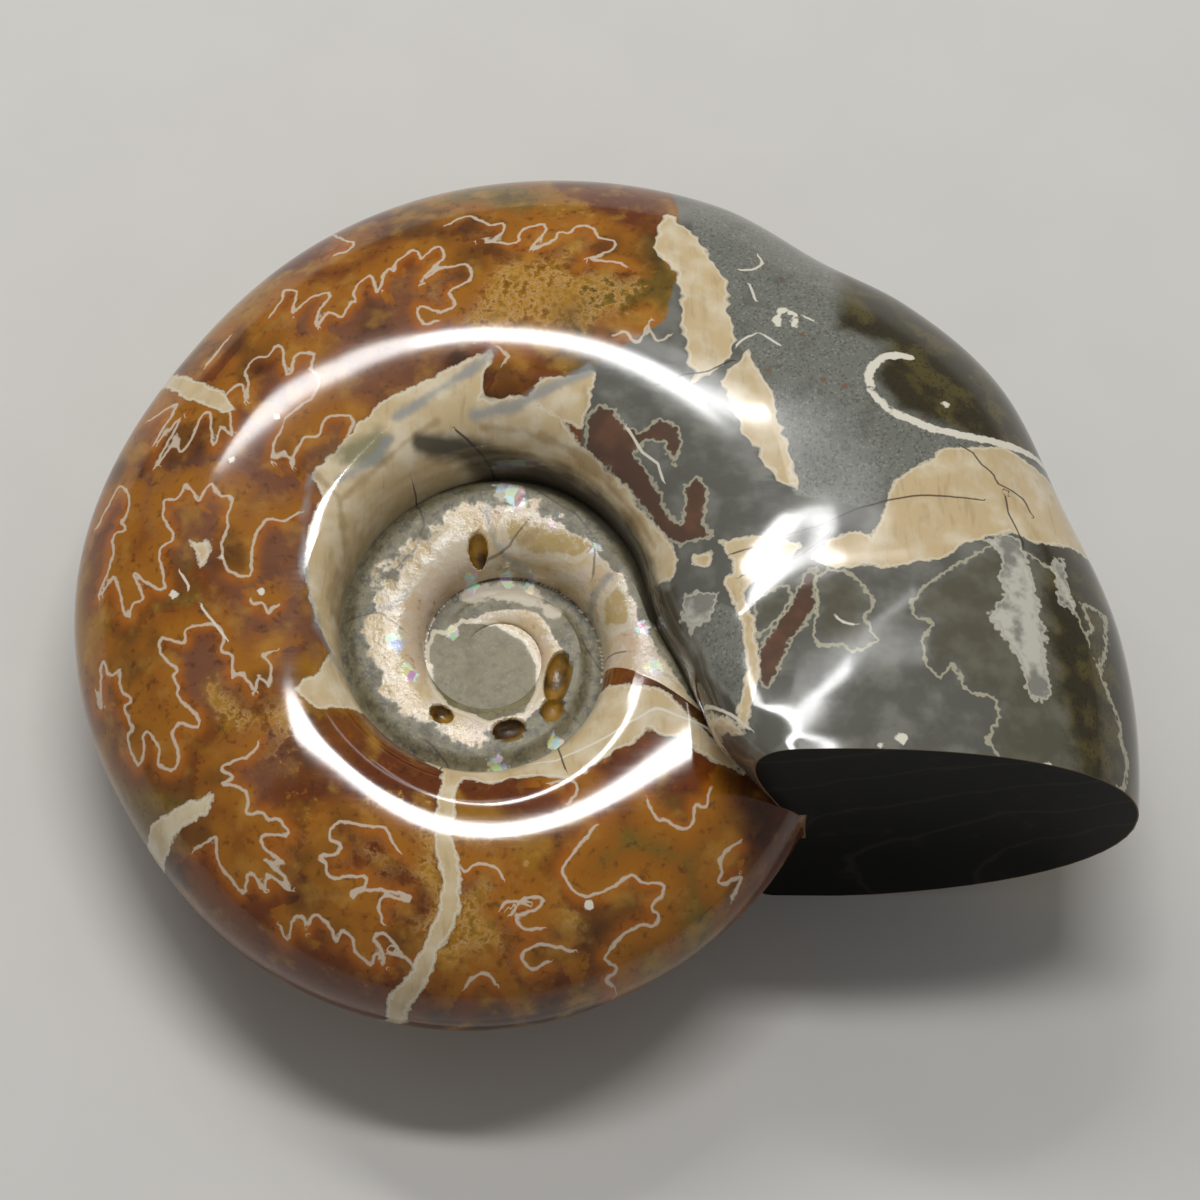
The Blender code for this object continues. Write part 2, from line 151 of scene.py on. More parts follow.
# Routes of the suture lines and of short pieces of them.
SUTURES = [
    [(-28.8, 10.2), (-28, 11.5), (-27.2, 12.9), (-26.3, 11.6), (-26.4, 9.9), (-26.8, 9.8), (-26.4, 8.8),
     (-27.3, 8.7), (-27.3, 7), (-27.8, 5.3), (-28.2, 4.1), (-27.1, 5.3), (-26.7, 4.2), (-25.9, 1.7),
     (-25.5, 2.8), (-24.8, 2.9), (-25.5, 5), (-24.5, 4.1), (-23.8, 3.5), (-23.1, 3.4), (-23.5, 5.3),
     (-23.6, 6.6), (-22.7, 7.3), (-23.4, 9), (-23.5, 10.6), (-22.5, 10.4), (-21.9, 11.5), (-21.3, 10.8),
     (-20.9, 9.9), (-20.6, 10.6), (-20, 11.3), (-19.5, 10.3), (-18.4, 9.9), (-18.8, 8.4), (-18.6, 7.6),
     (-19.1, 6.4), (-18.6, 4.3), (-17, 3.7), (-16.9, 5.9), (-16.3, 7.5), (-15.8, 8.1), (-14.7, 7.8),
     (-13.5, 8.4)],
    [(-28.3, -2.9), (-27.9, -4.1), (-28, -1.6), (-27.7, -1), (-27.1, -2.2), (-26.3, -1.9), (-26.4, -3.2),
     (-25.5, -4.4), (-26, -4.8), (-25.3, -6.5), (-25.8, -6.8), (-25, -8.9), (-24.5, -8.1), (-24.5, -7.1),
     (-24, -7), (-23.3, -8.4), (-23.3, -9.3), (-22.2, -10), (-21.8, -8.9), (-22.3, -7.6), (-21.8, -6.8),
     (-20.5, -7.3), (-20.6, -6.3), (-21.4, -5.6), (-22, -4.7), (-21.9, -4.2), (-22.3, -3.4), (-22.1, -2.9),
     (-23.4, -1.4), (-23.2, -0.3), (-22.4, -0.7), (-21.5, -1), (-21.5, -0.1), (-20.7, 0.2), (-19, 0),
     (-18.7, -1), (-18.8, -1.9), (-18, -2.4), (-18, -4), (-17.3, -3.6), (-16.5, -5.1), (-16.2, -4),
     (-15.3, -4.8), (-15.4, -3.3), (-16, -2.4), (-15.1, -2.1)],
    [(-20.7, -15.3), (-19.9, -15.1), (-19.2, -14.9), (-18.9, -16.5), (-17.3, -18.6), (-16.8, -17.5),
     (-16.2, -18), (-15.7, -18.7), (-15.5, -17.7), (-14.7, -18.3), (-13.9, -18.9), (-14.4, -18),
     (-15.6, -16.9), (-14.3, -17.3), (-14.7, -16.8), (-15.8, -15.9), (-15.7, -15.2), (-14, -15.4),
     (-14.6, -14.3), (-15.4, -14.2), (-15.8, -13.7), (-16.8, -13.7), (-16.9, -12.4), (-17.7, -11.8),
     (-18.6, -11.5), (-17.9, -11.1), (-18.7, -10.4), (-17.8, -10), (-16.8, -9.8), (-16.1, -9)],
    [(-14.7, -21), (-14.2, -21.7), (-13.8, -20.7), (-13, -20.6), (-12.9, -21.4), (-12.1, -20.6),
     (-11.1, -21.5), (-10.7, -22.3), (-10.3, -21.7), (-9.6, -22.2), (-9.5, -22.9), (-8.4, -23.7),
     (-8, -23.2), (-7.5, -23.9), (-7.6, -23), (-8.1, -22.3), (-7.4, -22.1), (-5.8, -23.7)],
    [(-7.5, -21.3), (-7.7, -20.4), (-7.3, -19.7), (-5.7, -20.1), (-5.9, -19.6), (-8.7, -19.3),
     (-9.5, -19.8), (-9.5, -19.2), (-8.7, -19.1), (-8.7, -18.4), (-10.6, -18.4), (-11.3, -18.1),
     (-11.4, -17.4), (-12, -17), (-10.5, -16.8), (-10.3, -16.2), (-11, -15.8), (-11, -15.1), (-10.2, -14.7),
     (-8.2, -15), (-7.3, -15.2), (-6.8, -15.9), (-6.3, -16.7)],
    [(7.2, -15), (6.5, -15.9), (5.3, -17.4), (5, -18.1), (5.3, -18.9), (6.1, -19.7), (7.4, -19.5),
     (8.6, -18.9), (9.7, -18.2), (10.5, -18.7), (11.8, -18.6), (11.8, -19.2), (11, -20.1), (11.4, -20.5),
     (11.2, -21.1), (10.2, -21.3), (9.1, -21.9), (8.3, -22.6), (7.7, -23.4), (8.5, -23.8), (7.8, -24.4),
     (8.1, -24.6)],
    [(15.2, -12), (14.9, -13.3), (14.1, -13.2), (14, -14.5), (13.4, -15), (12.6, -14.8), (12, -14.4),
     (11.6, -14.5), (11.1, -13.8), (10.8, -13)],
    [(16.6, -18.7), (17.2, -17.4), (16.2, -18), (15.6, -18), (15.9, -17.3), (15.6, -16.9), (16.1, -16.1),
     (17.1, -15.3)],
    [(-25.2, 18.4), (-23.1, 18.9), (-24.1, 16.7), (-24.4, 15.8), (-22.6, 17.6), (-23.5, 15.4),
     (-24.3, 13.6), (-22.7, 15.8), (-22.6, 14.3), (-21.8, 15.1), (-21.1, 17.1), (-20.4, 17.3),
     (-20.1, 14.6), (-19.8, 14.5), (-19.5, 16), (-18.7, 15.1), (-19, 17.7), (-19.4, 18.3), (-19, 19),
     (-18.1, 19.5), (-17.7, 17.8), (-17.6, 19.4), (-17.9, 20.5), (-17, 21.6), (-16.2, 21.5), (-15.7, 22.3),
     (-15.1, 22), (-14.8, 19.6), (-14.2, 20.2), (-14.3, 20.9), (-13.7, 21.3), (-12.8, 21.1), (-13, 19.8),
     (-12.3, 18.9), (-12.7, 17.6), (-13.6, 16.9), (-14.7, 16)],
    [(-14.9, 15.1), (-15.5, 13.9), (-15.5, 12.5), (-14.7, 13.3), (-14.1, 12), (-14, 13), (-13.3, 14.2),
     (-12.3, 14.4), (-11.9, 15.5), (-10.7, 15.8), (-9.7, 15.4), (-10.1, 14.2)],
    [(-16.2, 25.4), (-15.5, 26.6), (-15.3, 27.7), (-14.3, 27.2), (-14.6, 25), (-13.5, 26.1), (-12.4, 26.5),
     (-11.6, 26.3), (-12.5, 25), (-12.6, 23.5), (-11.8, 24.6), (-10.8, 24.1), (-10.2, 25.2), (-9.7, 25.3),
     (-10, 26.4), (-8.9, 27.6), (-8.5, 27), (-8.2, 25.9), (-7.8, 27.4), (-7.4, 28.1), (-7, 27.7),
     (-6.9, 28.5), (-5.6, 29.6), (-5.1, 28.6), (-4.3, 29.4), (-3.6, 29.6), (-3.4, 28.4), (-4.5, 27.3),
     (-5.1, 26.3), (-3.8, 27.3), (-1.8, 27.7), (-1.3, 26.7), (-1.6, 26), (-3, 25.3), (-2.4, 24.1),
     (-3.5, 23.6), (-5.2, 24.2), (-4.8, 22.7), (-3.8, 22.8)],
    [(-3.2, 31.9), (-1.7, 32.7), (-0.1, 31.5), (0.9, 31.5), (0.9, 30.4), (-0.9, 29.9), (0.5, 29.6),
     (2, 29.4), (2.3, 30.8), (3.9, 31.2), (3.9, 30.2), (3, 28.8), (4.7, 29.5), (5, 30.5), (5.8, 30.2),
     (6.2, 30.9), (7.5, 30.9), (7.9, 29.8), (9.2, 29.3), (8.7, 28.4), (7.1, 27.6), (8.9, 27.4),
     (9.8, 26.9)],
    [(-21, 22), (-20, 23.4), (-19.4, 24.2)],
    [(-12.8, 34.8), (-11.1, 32.2), (-10.2, 31.3), (-10.7, 30.6), (-11.5, 30.5)],
    [(0.6, 20.3), (1.4, 19.6), (1.1, 18.9)],
    [(-1.9, -25.3), (-1.3, -24.8), (-0.3, -24.6), (0.2, -25.1)],
    [(-2.3, -17.6), (-1.7, -18.2), (-0.9, -17.7), (0.4, -18), (0.8, -18.6)],
    [(1.4, -21), (2.4, -20), (3.7, -20.1), (2.8, -20.8), (1.7, -21.2), (2.2, -21.9), (3.4, -21.9)],
    [(5.5, -23.1), (4.4, -23), (3.4, -22.9), (2.3, -23.3), (2, -23.8), (2.7, -24.3), (3.8, -23.9)],
    [(4.2, -11.8), (5.6, -11.6), (6, -12.5), (5.4, -13.3)],
    [(9.1, 20.8), (9.8, 21.1), (10.5, 20.2), (11.1, 20.5), (11.5, 22), (11.7, 20.8), (12.2, 20.2),
     (13, 20.7)],
    [(-7, -23.2), (-5.9, -23.6), (-5.4, -24.2)],
    [(0.7, -20.6), (1.2, -20.2), (2.4, -20.4)],
    [(-16.8, 1.7), (-16.4, 1.3), (-15.9, 1.7), (-15.6, 0.8), (-15, 1.2)],
]

# Tan shell walls: closed outlines. The first two are the wall of the umbilicus.
TAN_PLATES = [
    [(-9, 15.5), (-10.5, 13.5), (-12.6, 11.5), (-11.8, 9.6), (-12.9, 7), (-12.9, 3), (-12.3, 0.7),
     (-11.2, -1.5), (-12, -3.5), (-13.5, -5), (-12, -6.4), (-9, -5.7), (-7, -7.4), (-3, -10.6), (1, -12),
     (5, -11.6), (8.7, -9.7), (11, -7.8), (15, -9.6), (17.6, -10.8), (14, -7), (12, -5), (8, -4), (0, -6),
     (-8, -2), (-9, 4), (-6, 10)],
    [(-9, 15.2), (-7, 17), (-3.7, 18.4), (-0.8, 19.6), (0.4, 20), (0.8, 16.6), (3, 16.2), (5, 14.8),
     (6.8, 12.4), (8.2, 11.1), (9.8, 9.3), (11, 7.3), (12.6, 5), (13.2, 3.6), (12.6, 2.2), (10, 3), (6, 9),
     (-2, 12), (-8, 9)],
    [(4, 17.5), (7.5, 17.8), (7, 15.5), (6.5, 14), (4, 15.2), (2.8, 16.3)],
    [(28.5, 8.7), (32.5, 12), (37, 13.2), (41, 12), (44, 9.5), (44, 6.5), (41, 6), (38.5, 5.3), (36.7, 5.8),
     (34.8, 5), (31, 2.5), (27.3, 1.7), (26.3, 3.3), (27.4, 5.3)],
    [(22.6, 2.6), (24, 4), (26.4, 4.6), (27.7, 3.1), (27, 1.9), (24, 1.8)],
    [(16.3, 4.2), (18.7, 4.5), (21.9, 3.7), (20.6, 2.1), (18.6, 1), (17.6, 0), (17.2, 1.4), (17.2, 2.6)],
    [(14.4, 3.5), (15.5, 3.4), (15.4, 2.5), (14.5, 2.7)],
    [(-21.6, 7.1), (-20.5, 6.5), (-20, 7), (-19.8, 6.1), (-20.5, 4.8), (-20.9, 5.9)],
    [(-24.8, 22), (-24, 22.8), (-21.8, 20.7), (-19.6, 18.9), (-18.5, 17.3), (-19.4, 17.2), (-21, 18.4),
     (-22.4, 19.3), (-23.2, 20.4)],
    [(-25, -13.6), (-23.6, -12.8), (-21.6, -12.4), (-19.3, -12), (-19.7, -13.2), (-21.5, -13.6),
     (-23, -14.8), (-24.4, -15.4)],
]

# Windows of amber calcite in the wall of the umbilicus.
WINDOWS = [
    [(0.4, 20.4), (3.9, 18), (2.7, 16.6), (0.6, 16.2), (-0.8, 16.3), (-0.5, 18)],
    [(-1, -12.1), (1.8, -13.4), (5, -13.4), (6.2, -11.9), (4, -11), (1, -11.3)],
    [(-12.4, -7.2), (-10, -7.7), (-7, -7), (-4.6, -9), (-4, -12), (-6.5, -13), (-9.3, -11), (-12, -9.2)],
    [(6.5, -10.6), (10, -8.8), (13, -8.2), (14.4, -9), (12.2, -10.6), (8.7, -13)],
    [(-16, 4), (-13.2, 5.5), (-13.6, 2), (-12.6, -0.5), (-16, -2)],
]

# Inside the wall of the umbilicus: blue-grey seams, a grey-green patch, and painted shade in the crevice at
# its foot.
BLUE_SEAMS = [
    (0.35, [(-6.6, 15.3), (-3.7, 17.2), (-0.8, 18.9), (0.3, 19.8)]),
    (0.35, [(-1, 15.4), (2, 15.8), (4.9, 17), (7, 18.1)]),
    (0.3, [(-10.8, 10.8), (-8.4, 12.2), (-7, 13.8)]),
    (0.1, [(-12.7, 11.4), (-13.3, 7.7), (-13.1, 4), (-12.2, 0), (-11, -2.3), (-9.6, -3.5)]),
    (0.25, [(-0.5, 11), (-0.3, 9.2), (0.1, 7.8), (0.9, 6.8), (2.6, 6.1)]),
    (0.3, [(6.8, 2.4), (7.3, 3.4), (8.3, 4.4)]),
    (0.2, [(-8.9, 2.8), (-7.4, 2.9), (-6.2, 4)]),
]

# Tan calcite that fills chambers of the inner whorls.
NACRE_FILLS = [
    [(0.6, 7.6), (1.1, 9.2), (2.6, 9.5), (4.4, 8.8), (6.4, 8), (7.6, 6.8), (6, 6.1), (4.2, 6.6), (2, 7)],
    [(-8.4, 4.4), (-7.2, 6.9), (-5.4, 8.8), (-3.2, 9.7), (-2.5, 9), (-4, 7.2), (-5.5, 4.8), (-6.8, 3.6)],
    [(7.8, 2.8), (8.9, 4), (9.7, 3), (9.9, 0.4), (8.6, 0.2), (7.8, 1.4)],
]
GREEN_PATCH = [(-10.5, 13.6), (-8, 14.8), (-6.7, 13.8), (-7.4, 12), (-10.2, 11.2), (-11.8, 12.6)]
SHADED_CREVICE = [(-5, 13.6), (-2.4, 13.6), (0, 13.2), (2.5, 12.6), (5.2, 11.4), (7.4, 9.6), (9.4, 7.2), (10.9, 4),
           (11.6, 1)]
WALL_STRIPS = [
    (0.12, [(-10.6, 9.4), (-8.4, 11.5), (-5.9, 13.7), (-3.8, 15)]),
    (0.12, [(-12.5, 11.5), (-10.7, 9.4), (-10.4, 6), (-11.4, 2.6), (-10.9, 0.8)]),
    (0.15, [(3.6, 13.9), (6.2, 12.6), (8.6, 10.4)]),
    (0.1, [(-0.6, 14.7), (2.4, 14.3), (5.4, 13), (7.9, 10.8), (10.2, 7.8), (11.7, 5)]),
]

# Tan shell walls whose outer edge is frilled.
FRILLED_PLATES = [
    [(13, 32.5), (15, 30), (16.2, 27.5), (17.2, 25), (17.2, 22), (17.6, 20.5), (17.2, 18.5), (14.8, 17),
     (14, 21), (13.8, 26), (12, 29)],
    [(18.6, 19.2), (19.9, 16), (20.8, 13), (21.7, 8), (20.5, 8.8), (18, 13), (16.6, 17)],
]

# Tan shell walls seen edge on: half width, then points along them.
TAN_WALLS = [
    (0.55, [(-2.3, -8.5), (-3, -13), (-3.2, -15.8), (-2.7, -18.9), (-2.9, -20.9), (-3.9, -22.7),
            (-5.3, -24.9), (-6.9, -26.1)]),
    (0.35, [(17, 1), (18, -2), (18.3, -6), (17.5, -10)]),
]

# Grey limestone that filled the body chamber, the clear grey calcite by the saw cut, and dark iron-rich mud.
LIMESTONE = [
    [(14.5, 34.5), (22.5, 33), (32, 28), (38, 22), (42, 15), (41, 12), (36, 12.5), (32.5, 11.8),
     (28.5, 8.7), (27, 6.5), (21.5, 7.5), (20, 14), (18.3, 19.3), (17, 21), (17, 25), (15, 29.5)],
    [(15.6, 0), (17.3, -1.2), (17.9, -4.4), (17.9, -7), (17.2, -9), (15.5, -5.7), (14.6, -2.9)],
]
CLEAR_CALCITE = [
    [(13.5, 36), (13.8, 27), (12.5, 22), (7.5, 18.2), (6.5, 12.5), (11, 6), (12, -4), (15, -12), (30, -30),
     (60, -30), (60, 40), (30, 40)],
]
DARK_MUD = [
    [(25.5, 30), (34, 27), (41, 18), (42, 13), (34, 13.4), (29, 15.2), (27.5, 18), (28.5, 21), (25, 22)],
    [(38.5, 6), (46, 8), (50, -5), (50, -24), (43, -24), (39.4, -8), (38.8, 0)],
]
# The steep wall by the umbilicus: dark matrix, made darker as painted shade.
SHADED_DARK_WALL = [(11.4, 2.1), (13, 1.6), (13.4, -1.7), (14.6, -4.7), (16.4, -7.3), (18, -10.8), (16, -9.5),
             (11.8, -4.3), (11.6, -0.8)]
WHITE_SPAR = [
    [(34.8, 4.6), (36.8, 5.3), (38.2, 2.5), (38.5, -3), (38.6, -7.2), (37.8, -8), (36.4, -4.6),
     (34.6, -1.6), (36, -0.2), (35.6, 1.6), (36.4, 3.4)],
    [(13.8, 0.6), (15.6, 0.2), (15.4, -1.1), (14.1, -2.2), (13.6, -0.8)],
    [(39.6, 3.6), (40.3, 4.2), (40.6, 2), (41.2, 0), (40.2, 0.8), (39.6, 2.2)],
]

# Suture folds of the last chamber, drawn as closed outlines, and plum-coloured calcite with such an outline.
FOLDS = [
    [(25.2, 1.3), (26.2, 0), (26.8, -1.2), (26, -2.4), (26.9, -4.2), (25.4, -5.2), (24.2, -4.4),
     (22.9, -4.7), (22.5, -3.5), (22.9, -1), (22.6, 0.8), (23.6, 1.6)],
    [(29.3, -1), (29.4, -2.2), (30.9, -2.6), (29.8, -4.2), (30.2, -6.2), (31, -7), (32, -5.6), (32.8, -7.8),
     (34.8, -8), (35, -9.5), (34, -11.4), (34.8, -12.5), (34.6, -15), (43, -15), (44, -8), (40, 3), (36, 5),
     (33, 2.5), (30.4, 0.4)],
    [(18.6, -0.5), (19.6, 0), (20.8, 0.5), (21.1, -0.4), (20.5, -1.8), (19.5, -2.8), (18.7, -3.6),
     (18.4, -2.8)],
    [(38.4, -12.5), (38.9, -10.3), (39.4, -7.5), (40, -4.3), (40.1, -7.5), (40.2, -10), (40.9, -9.4),
     (41.6, -8.5), (41.2, -10.5), (40.4, -13), (39.3, -14)],
    [(35.5, -8.6), (36, -10), (36.6, -8.6), (37, -11), (37.6, -13.5), (36, -14), (35.6, -11)],
    [(41.5, 1), (42.2, -0.8), (41.7, -2), (42.6, -4.6), (43.2, -2), (43.5, 1)],
    [(42.2, -8), (43, -10.5), (42.6, -12.5), (43.8, -12.5), (44.4, -10), (43.6, -8.6)],
]
PLUM_PLATES = [
    [(7.2, 14.6), (7.9, 15.3), (9, 14.8), (9.9, 13.5), (10.8, 13), (12.2, 13.8), (13.4, 13.2), (13.6, 11.6),
     (13.1, 10.3), (12.4, 12.2), (11.1, 12.3), (10.3, 11.6), (11.1, 10.3), (12.1, 8.4), (12.6, 7),
     (13.6, 5.9), (13.9, 8.7), (14.6, 9.2), (15.5, 8.3), (15.2, 5.8), (15.7, 4.8), (13.5, 4.5), (12.3, 5.5),
     (9.6, 9.6), (6.8, 12.4)],
    [(21.8, 1.2), (23, 1.9), (22.7, 0.5), (22.8, -1.2), (21.9, -2.9), (20.9, -4), (20.3, -5.8),
     (19.2, -7.8), (18.5, -6.1), (19, -3.9), (20.2, -2.3), (21.4, -0.4)],
]

# Thick pale shell in the body chamber: half width, then points along it.
PALE_SHELL = [
    (0.32, [(30.3, 20), (29.2, 20), (28.3, 19.6), (27.5, 18.8), (27.1, 17.8), (27.2, 16.7), (27.7, 15.7),
            (28.5, 14.9), (29.7, 14.2), (31.5, 13.6), (33.7, 13.4), (36.5, 13.6), (40.5, 14)]),
    (0.2, [(20.9, 22), (20.8, 22.7), (21, 23.4), (21.6, 23.5), (22, 22.9), (22, 21.9)]),
]

# Hairlines: pale ones of thin shell, and cracks that healed with dark mineral.
PALE_LINES = [
    [(19.6, 28.8), (19.9, 28), (19.2, 27.2), (18.3, 27)],
    [(18.9, 25.5), (19.2, 24.2)],
    [(19.8, 20.8), (20.7, 20.1)],
    [(22.7, 22.8), (23.2, 22.6)],
    [(17.8, 19.9), (18.3, 20.6), (19, 20.9)],
    [(24, -2.2), (24.6, -2.8), (25.4, -2.9)],
    [(-20.4, 1.6), (-19.4, 0.2), (-18.6, -1)],
    [(-22, 4.4), (-21.4, 3.2)],
    [(0.2, -9.6), (4.5, -9.9), (8, -8.4), (11.5, -6.2), (15, -7.6), (18, -10.6)],
    [(9.9, 13.4), (10.9, 11.6), (12, 10.6), (12.3, 9.4)],
]
CRACKS = [
    [(17, 3.2), (18.7, 3.6), (20.8, 4.4), (23, 5), (26, 6.5), (28, 7.2), (30.4, 7.8), (34.8, 8.1)],
    [(17.6, 1.4), (19.5, 1.9), (21.5, 2.5), (23.8, 4.4)],
    [(33.5, 12.5), (34.4, 12.1), (35, 11.2), (35.8, 10.6), (36, 9.8), (37.2, 9.5), (38, 9), (38.4, 7.8)],
    [(36.5, 8.8), (36.7, 7.4), (37.2, 6.2), (37.6, 4.8)],
    [(12, 16.6), (14, 17.4), (15.5, 17.6), (17.4, 18.6)],
    [(-2.4, 14.5), (0, 13), (3, 11.6), (6, 9.5), (7.6, 7)],
    [(6.4, 8.6), (7.4, 6.4), (7.2, 4.8)],
    [(-5.6, 11.4), (-4.9, 9.2), (-5.6, 7.2), (-7, 5.8)],
    [(-10.4, 2.2), (-8.2, 2.6), (-6.6, 1.4)],
    [(2.6, 9.2), (1.2, 7.4), (-0.6, 6.6)],
    [(9.4, -1.6), (7.6, -1.2), (6.6, 0.4)],
    [(-3.6, -10.6), (-3.2, -8.6), (-4.6, -7.2)],
    [(5.2, -10.8), (4.6, -8.6), (6, -6.4)],
]
PALE_NODULES = [
    (26.5, -12.3, 0.35), (28.1, -11.7, 0.5), (38.2, -12.5, 0.3), (-15.4, 16.2, 0.35), (-18.5, 13, 0.3),
    (6.7, -20.3, 0.3), (-19.2, 5.2, 0.25), (32.6, 16, 0.35),
    (-22.5, 2.8, 0.35), (-16.2, 2.4, 0.3), (20.4, 22, 0.2),
]

# Soft-edged clouds of colour in the calcite: x, y, radius.
CLOUDS = {
    "gold": [
        (-28.5, 3, 5), (-28.5, -4, 4), (-20, 27, 5), (-25.5, 18, 4), (3.5, 29, 5), (6, 24, 4), (-2, 34, 6),
        (-18, -6, 3), (-13, -17, 3.5), (-1.5, -17, 4), (0, -23, 4), (8, -20, 5), (15, -18, 4), (-12, -4, 3),
        (-24, -9, 3), (-18, 9, 2), (2, 26, 4),
    ],
    "olive": [
        (-24, -11, 3.5), (10, 23.5, 4), (12, 27, 3), (12, -18, 5), (9, -22.5, 4), (15.5, -16, 3),
        (-10.5, 13.5, 2.2), (-23, 4, 2.5), (0, 34.5, 4), (-27, -3, 2), (15, 15, 3), (8.5, 18.5, 3),
    ],
    "mauve": [
        (-7, 21, 4.5), (-11.5, 18, 4.5), (-17, 13.5, 3.5), (-14, 10.5, 3), (-4, 24, 3.5), (-20.5, 8, 3),
        (-15, 5, 4), (-23, 11.5, 3), (-14, 0, 3.5), (-20, -3.5, 3), (-12, 23, 3), (-16, -10, 3), (9, 13, 4),
        (20.5, -3, 2.5), (22, 0, 2),
    ],
    "russet": [
        (-14.5, 32, 5), (-22, 23.5, 4), (-9, 33, 4), (-20, -3, 3.5), (-25, -5, 3), (-9.5, -18, 4.5),
        (-8, -22.5, 5), (-16, -15, 4), (18, -14.5, 4), (14, -12, 4), (5, -13, 5), (-5, -12, 5), (-26, 9, 3),
        (9, 33, 3), (-12, -22, 4), (3, -19.5, 3), (20.8, -3, 3),
    ],
    "crystal": [
        (3, 26.5, 5), (7, 24.5, 4), (0, 28, 4), (-1.5, 25, 3), (-13, -16.5, 3), (-8, -20, 4),
        (-1.5, -18, 3), (0, -21.5, 4), (4.5, -22.5, 3), (-17.5, -5, 3), (-15, -8, 3), (-7, -15, 3),
        (6.5, 28.5, 4),
    ],
}

# Spots on the inner whorls where nacre shows through the mud, and where it shines in rainbow colours: x, y,
# radius.
PEARLS = [(-1.6, 4.9, 1.1), (0.6, 5.2, 1.2), (2.6, 4.6, 1.1), (4.2, 3.2, 0.9), (1.2, 11.6, 1.4)]
RAINBOWS = [
    (0.6, 12.2, 1.1), (1.7, 10.7, 1.1), (4.6, 9.3, 0.9), (7.5, 6.7, 0.8), (10.9, 0.2, 0.9), (11.5, -3.1, 0.8),
    (-7, 0.3, 0.9), (-6, -1.9, 0.8), (0.2, -8.8, 1.1), (3.5, -10.4, 1.2), (4.4, -6.9, 0.9), (-3.1, 2.1, 0.8),
    (-1.6, 5.5, 0.7), (0.8, 5.9, 0.8), (2.6, 5.4, 0.7),
]

# Limestone that fills the first whorls.
CORE_MUD = [(-4.9, 0.6), (-4.6, -2.4), (-3.4, -4.3), (-0.4, -5.7), (2.2, -5), (3.1, -3), (3.1, -0.5),
            (2.2, 1.3), (0, 2.7), (-2.4, 2.9), (-3.4, 2), (-4.4, 2.2)]

# ---------------------------------------------------------------- curves and sections of the coil


def mix(low, high, share):
    return low + (high - low) * share


def ease(x):
    x = min(max(x, 0.0), 1.0)
    return x * x * (3.0 - 2.0 * x)


def along(keys, turn):
    """A smooth curve through (turn, value) keys."""
    if turn <= keys[0][0]:
        return keys[0][1]
    if turn >= keys[-1][0]:
        return keys[-1][1]
    i = next(n for n in range(1, len(keys)) if turn <= keys[n][0])
    (t0, v0), (t1, v1) = keys[i - 1], keys[i]

    def slope(n):
        a, b = keys[max(n - 1, 0)], keys[min(n + 1, len(keys) - 1)]
        return (b[1] - a[1]) / (b[0] - a[0])

    span = t1 - t0
    x = (turn - t0) / span
    return (
        v0 * (1 + 2 * x) * (1 - x) ** 2
        + v1 * x * x * (3 - 2 * x)
        + slope(i - 1) * span * x * (1 - x) ** 2
        - slope(i) * span * x * x * (1 - x)
    )


@functools.lru_cache(maxsize=None)
def rim_radius(turn):
    if turn < -1.0:
        return RIM_RADIUS[0][1] * RIM_GROWTH_INSIDE ** (turn + 1.0)
    return along(RIM_RADIUS, turn)


@functools.lru_cache(maxsize=None)
def seam_radius(turn):
    if turn < -1.0:
        return SEAM_RADIUS[0][1] * SEAM_GROWTH_INSIDE ** (turn + 1.0)
    return along(SEAM_RADIUS, turn)


@functools.lru_cache(maxsize=None)
def half_thickness(turn):
    if turn < -1.0:
        return HALF_THICKNESS[0][1] * rim_radius(turn) / RIM_RADIUS[0][1]
    return along(HALF_THICKNESS, turn)


@functools.lru_cache(maxsize=None)
def crest_radius(turn):
    return mix(seam_radius(turn), rim_radius(turn), along(CREST_SHARE, turn))


@functools.lru_cache(maxsize=None)
def shoulder_overhang(turn):
    return along(SHOULDER_OVERHANG, turn)


def channel(turn, radius):
    """Depth of the limestone channel along the outer side of the visible part of an inner whorl."""
    share = (radius - seam_radius(turn)) / (seam_radius(turn + 1.0) - seam_radius(turn))
    start = along(CHANNEL_START, turn)
    return CHANNEL_DEPTH * ease((share - start) / CHANNEL_EDGE) * ease(-(turn + 1.0) / CHANNEL_FADE)


@functools.lru_cache(maxsize=None)
def seam_height(turn):
    """The seam lies in the channel on the flank of the whorl before it."""
    before, radius = turn - 1.0, seam_radius(turn)
    if before < FIRST_TURN:
        return PLUG_HEIGHT
    height = section(before, bearing_at(before, radius))[1]
    return max(height - channel(before, radius), PLUG_HEIGHT)


def quarter(angle, squareness):
    """(share across, share up) on a quarter of a superellipse: angle 0 is the crest and 90 its foot."""
    a = math.radians(angle)
    return math.sin(a) ** (2.0 / squareness), max(math.cos(a), 0.0) ** (2.0 / squareness)


def section(turn, bearing):
    """(radius, height) on a whorl's upper half: bearing -90 is the seam, 0 the crest and 90 the rim."""
    crest, top = crest_radius(turn), half_thickness(turn)
    if bearing < 0:
        across, up = quarter(-bearing, WALL_SQUARENESS)
        overhang = shoulder_overhang(turn) * OVERHANG_TO_PEAK * across * up
        radius = mix(crest, seam_radius(turn), across) - overhang
        return radius, mix(seam_height(turn), top, up)
    across, up = quarter(bearing, FLANK_SQUARENESS)
    return mix(crest, rim_radius(turn), across), top * up


def bearing_at(turn, radius):
    """The bearing at which a whorl's upper half reaches a radius."""
    crest = crest_radius(turn)
    if radius < crest:
        share = (crest - radius) / (crest - seam_radius(turn))
        return -math.degrees(math.asin(min(share, 1.0) ** (WALL_SQUARENESS / 2.0)))
    share = (radius - crest) / (rim_radius(turn) - crest)
    return math.degrees(math.asin(min(share, 1.0) ** (FLANK_SQUARENESS / 2.0)))


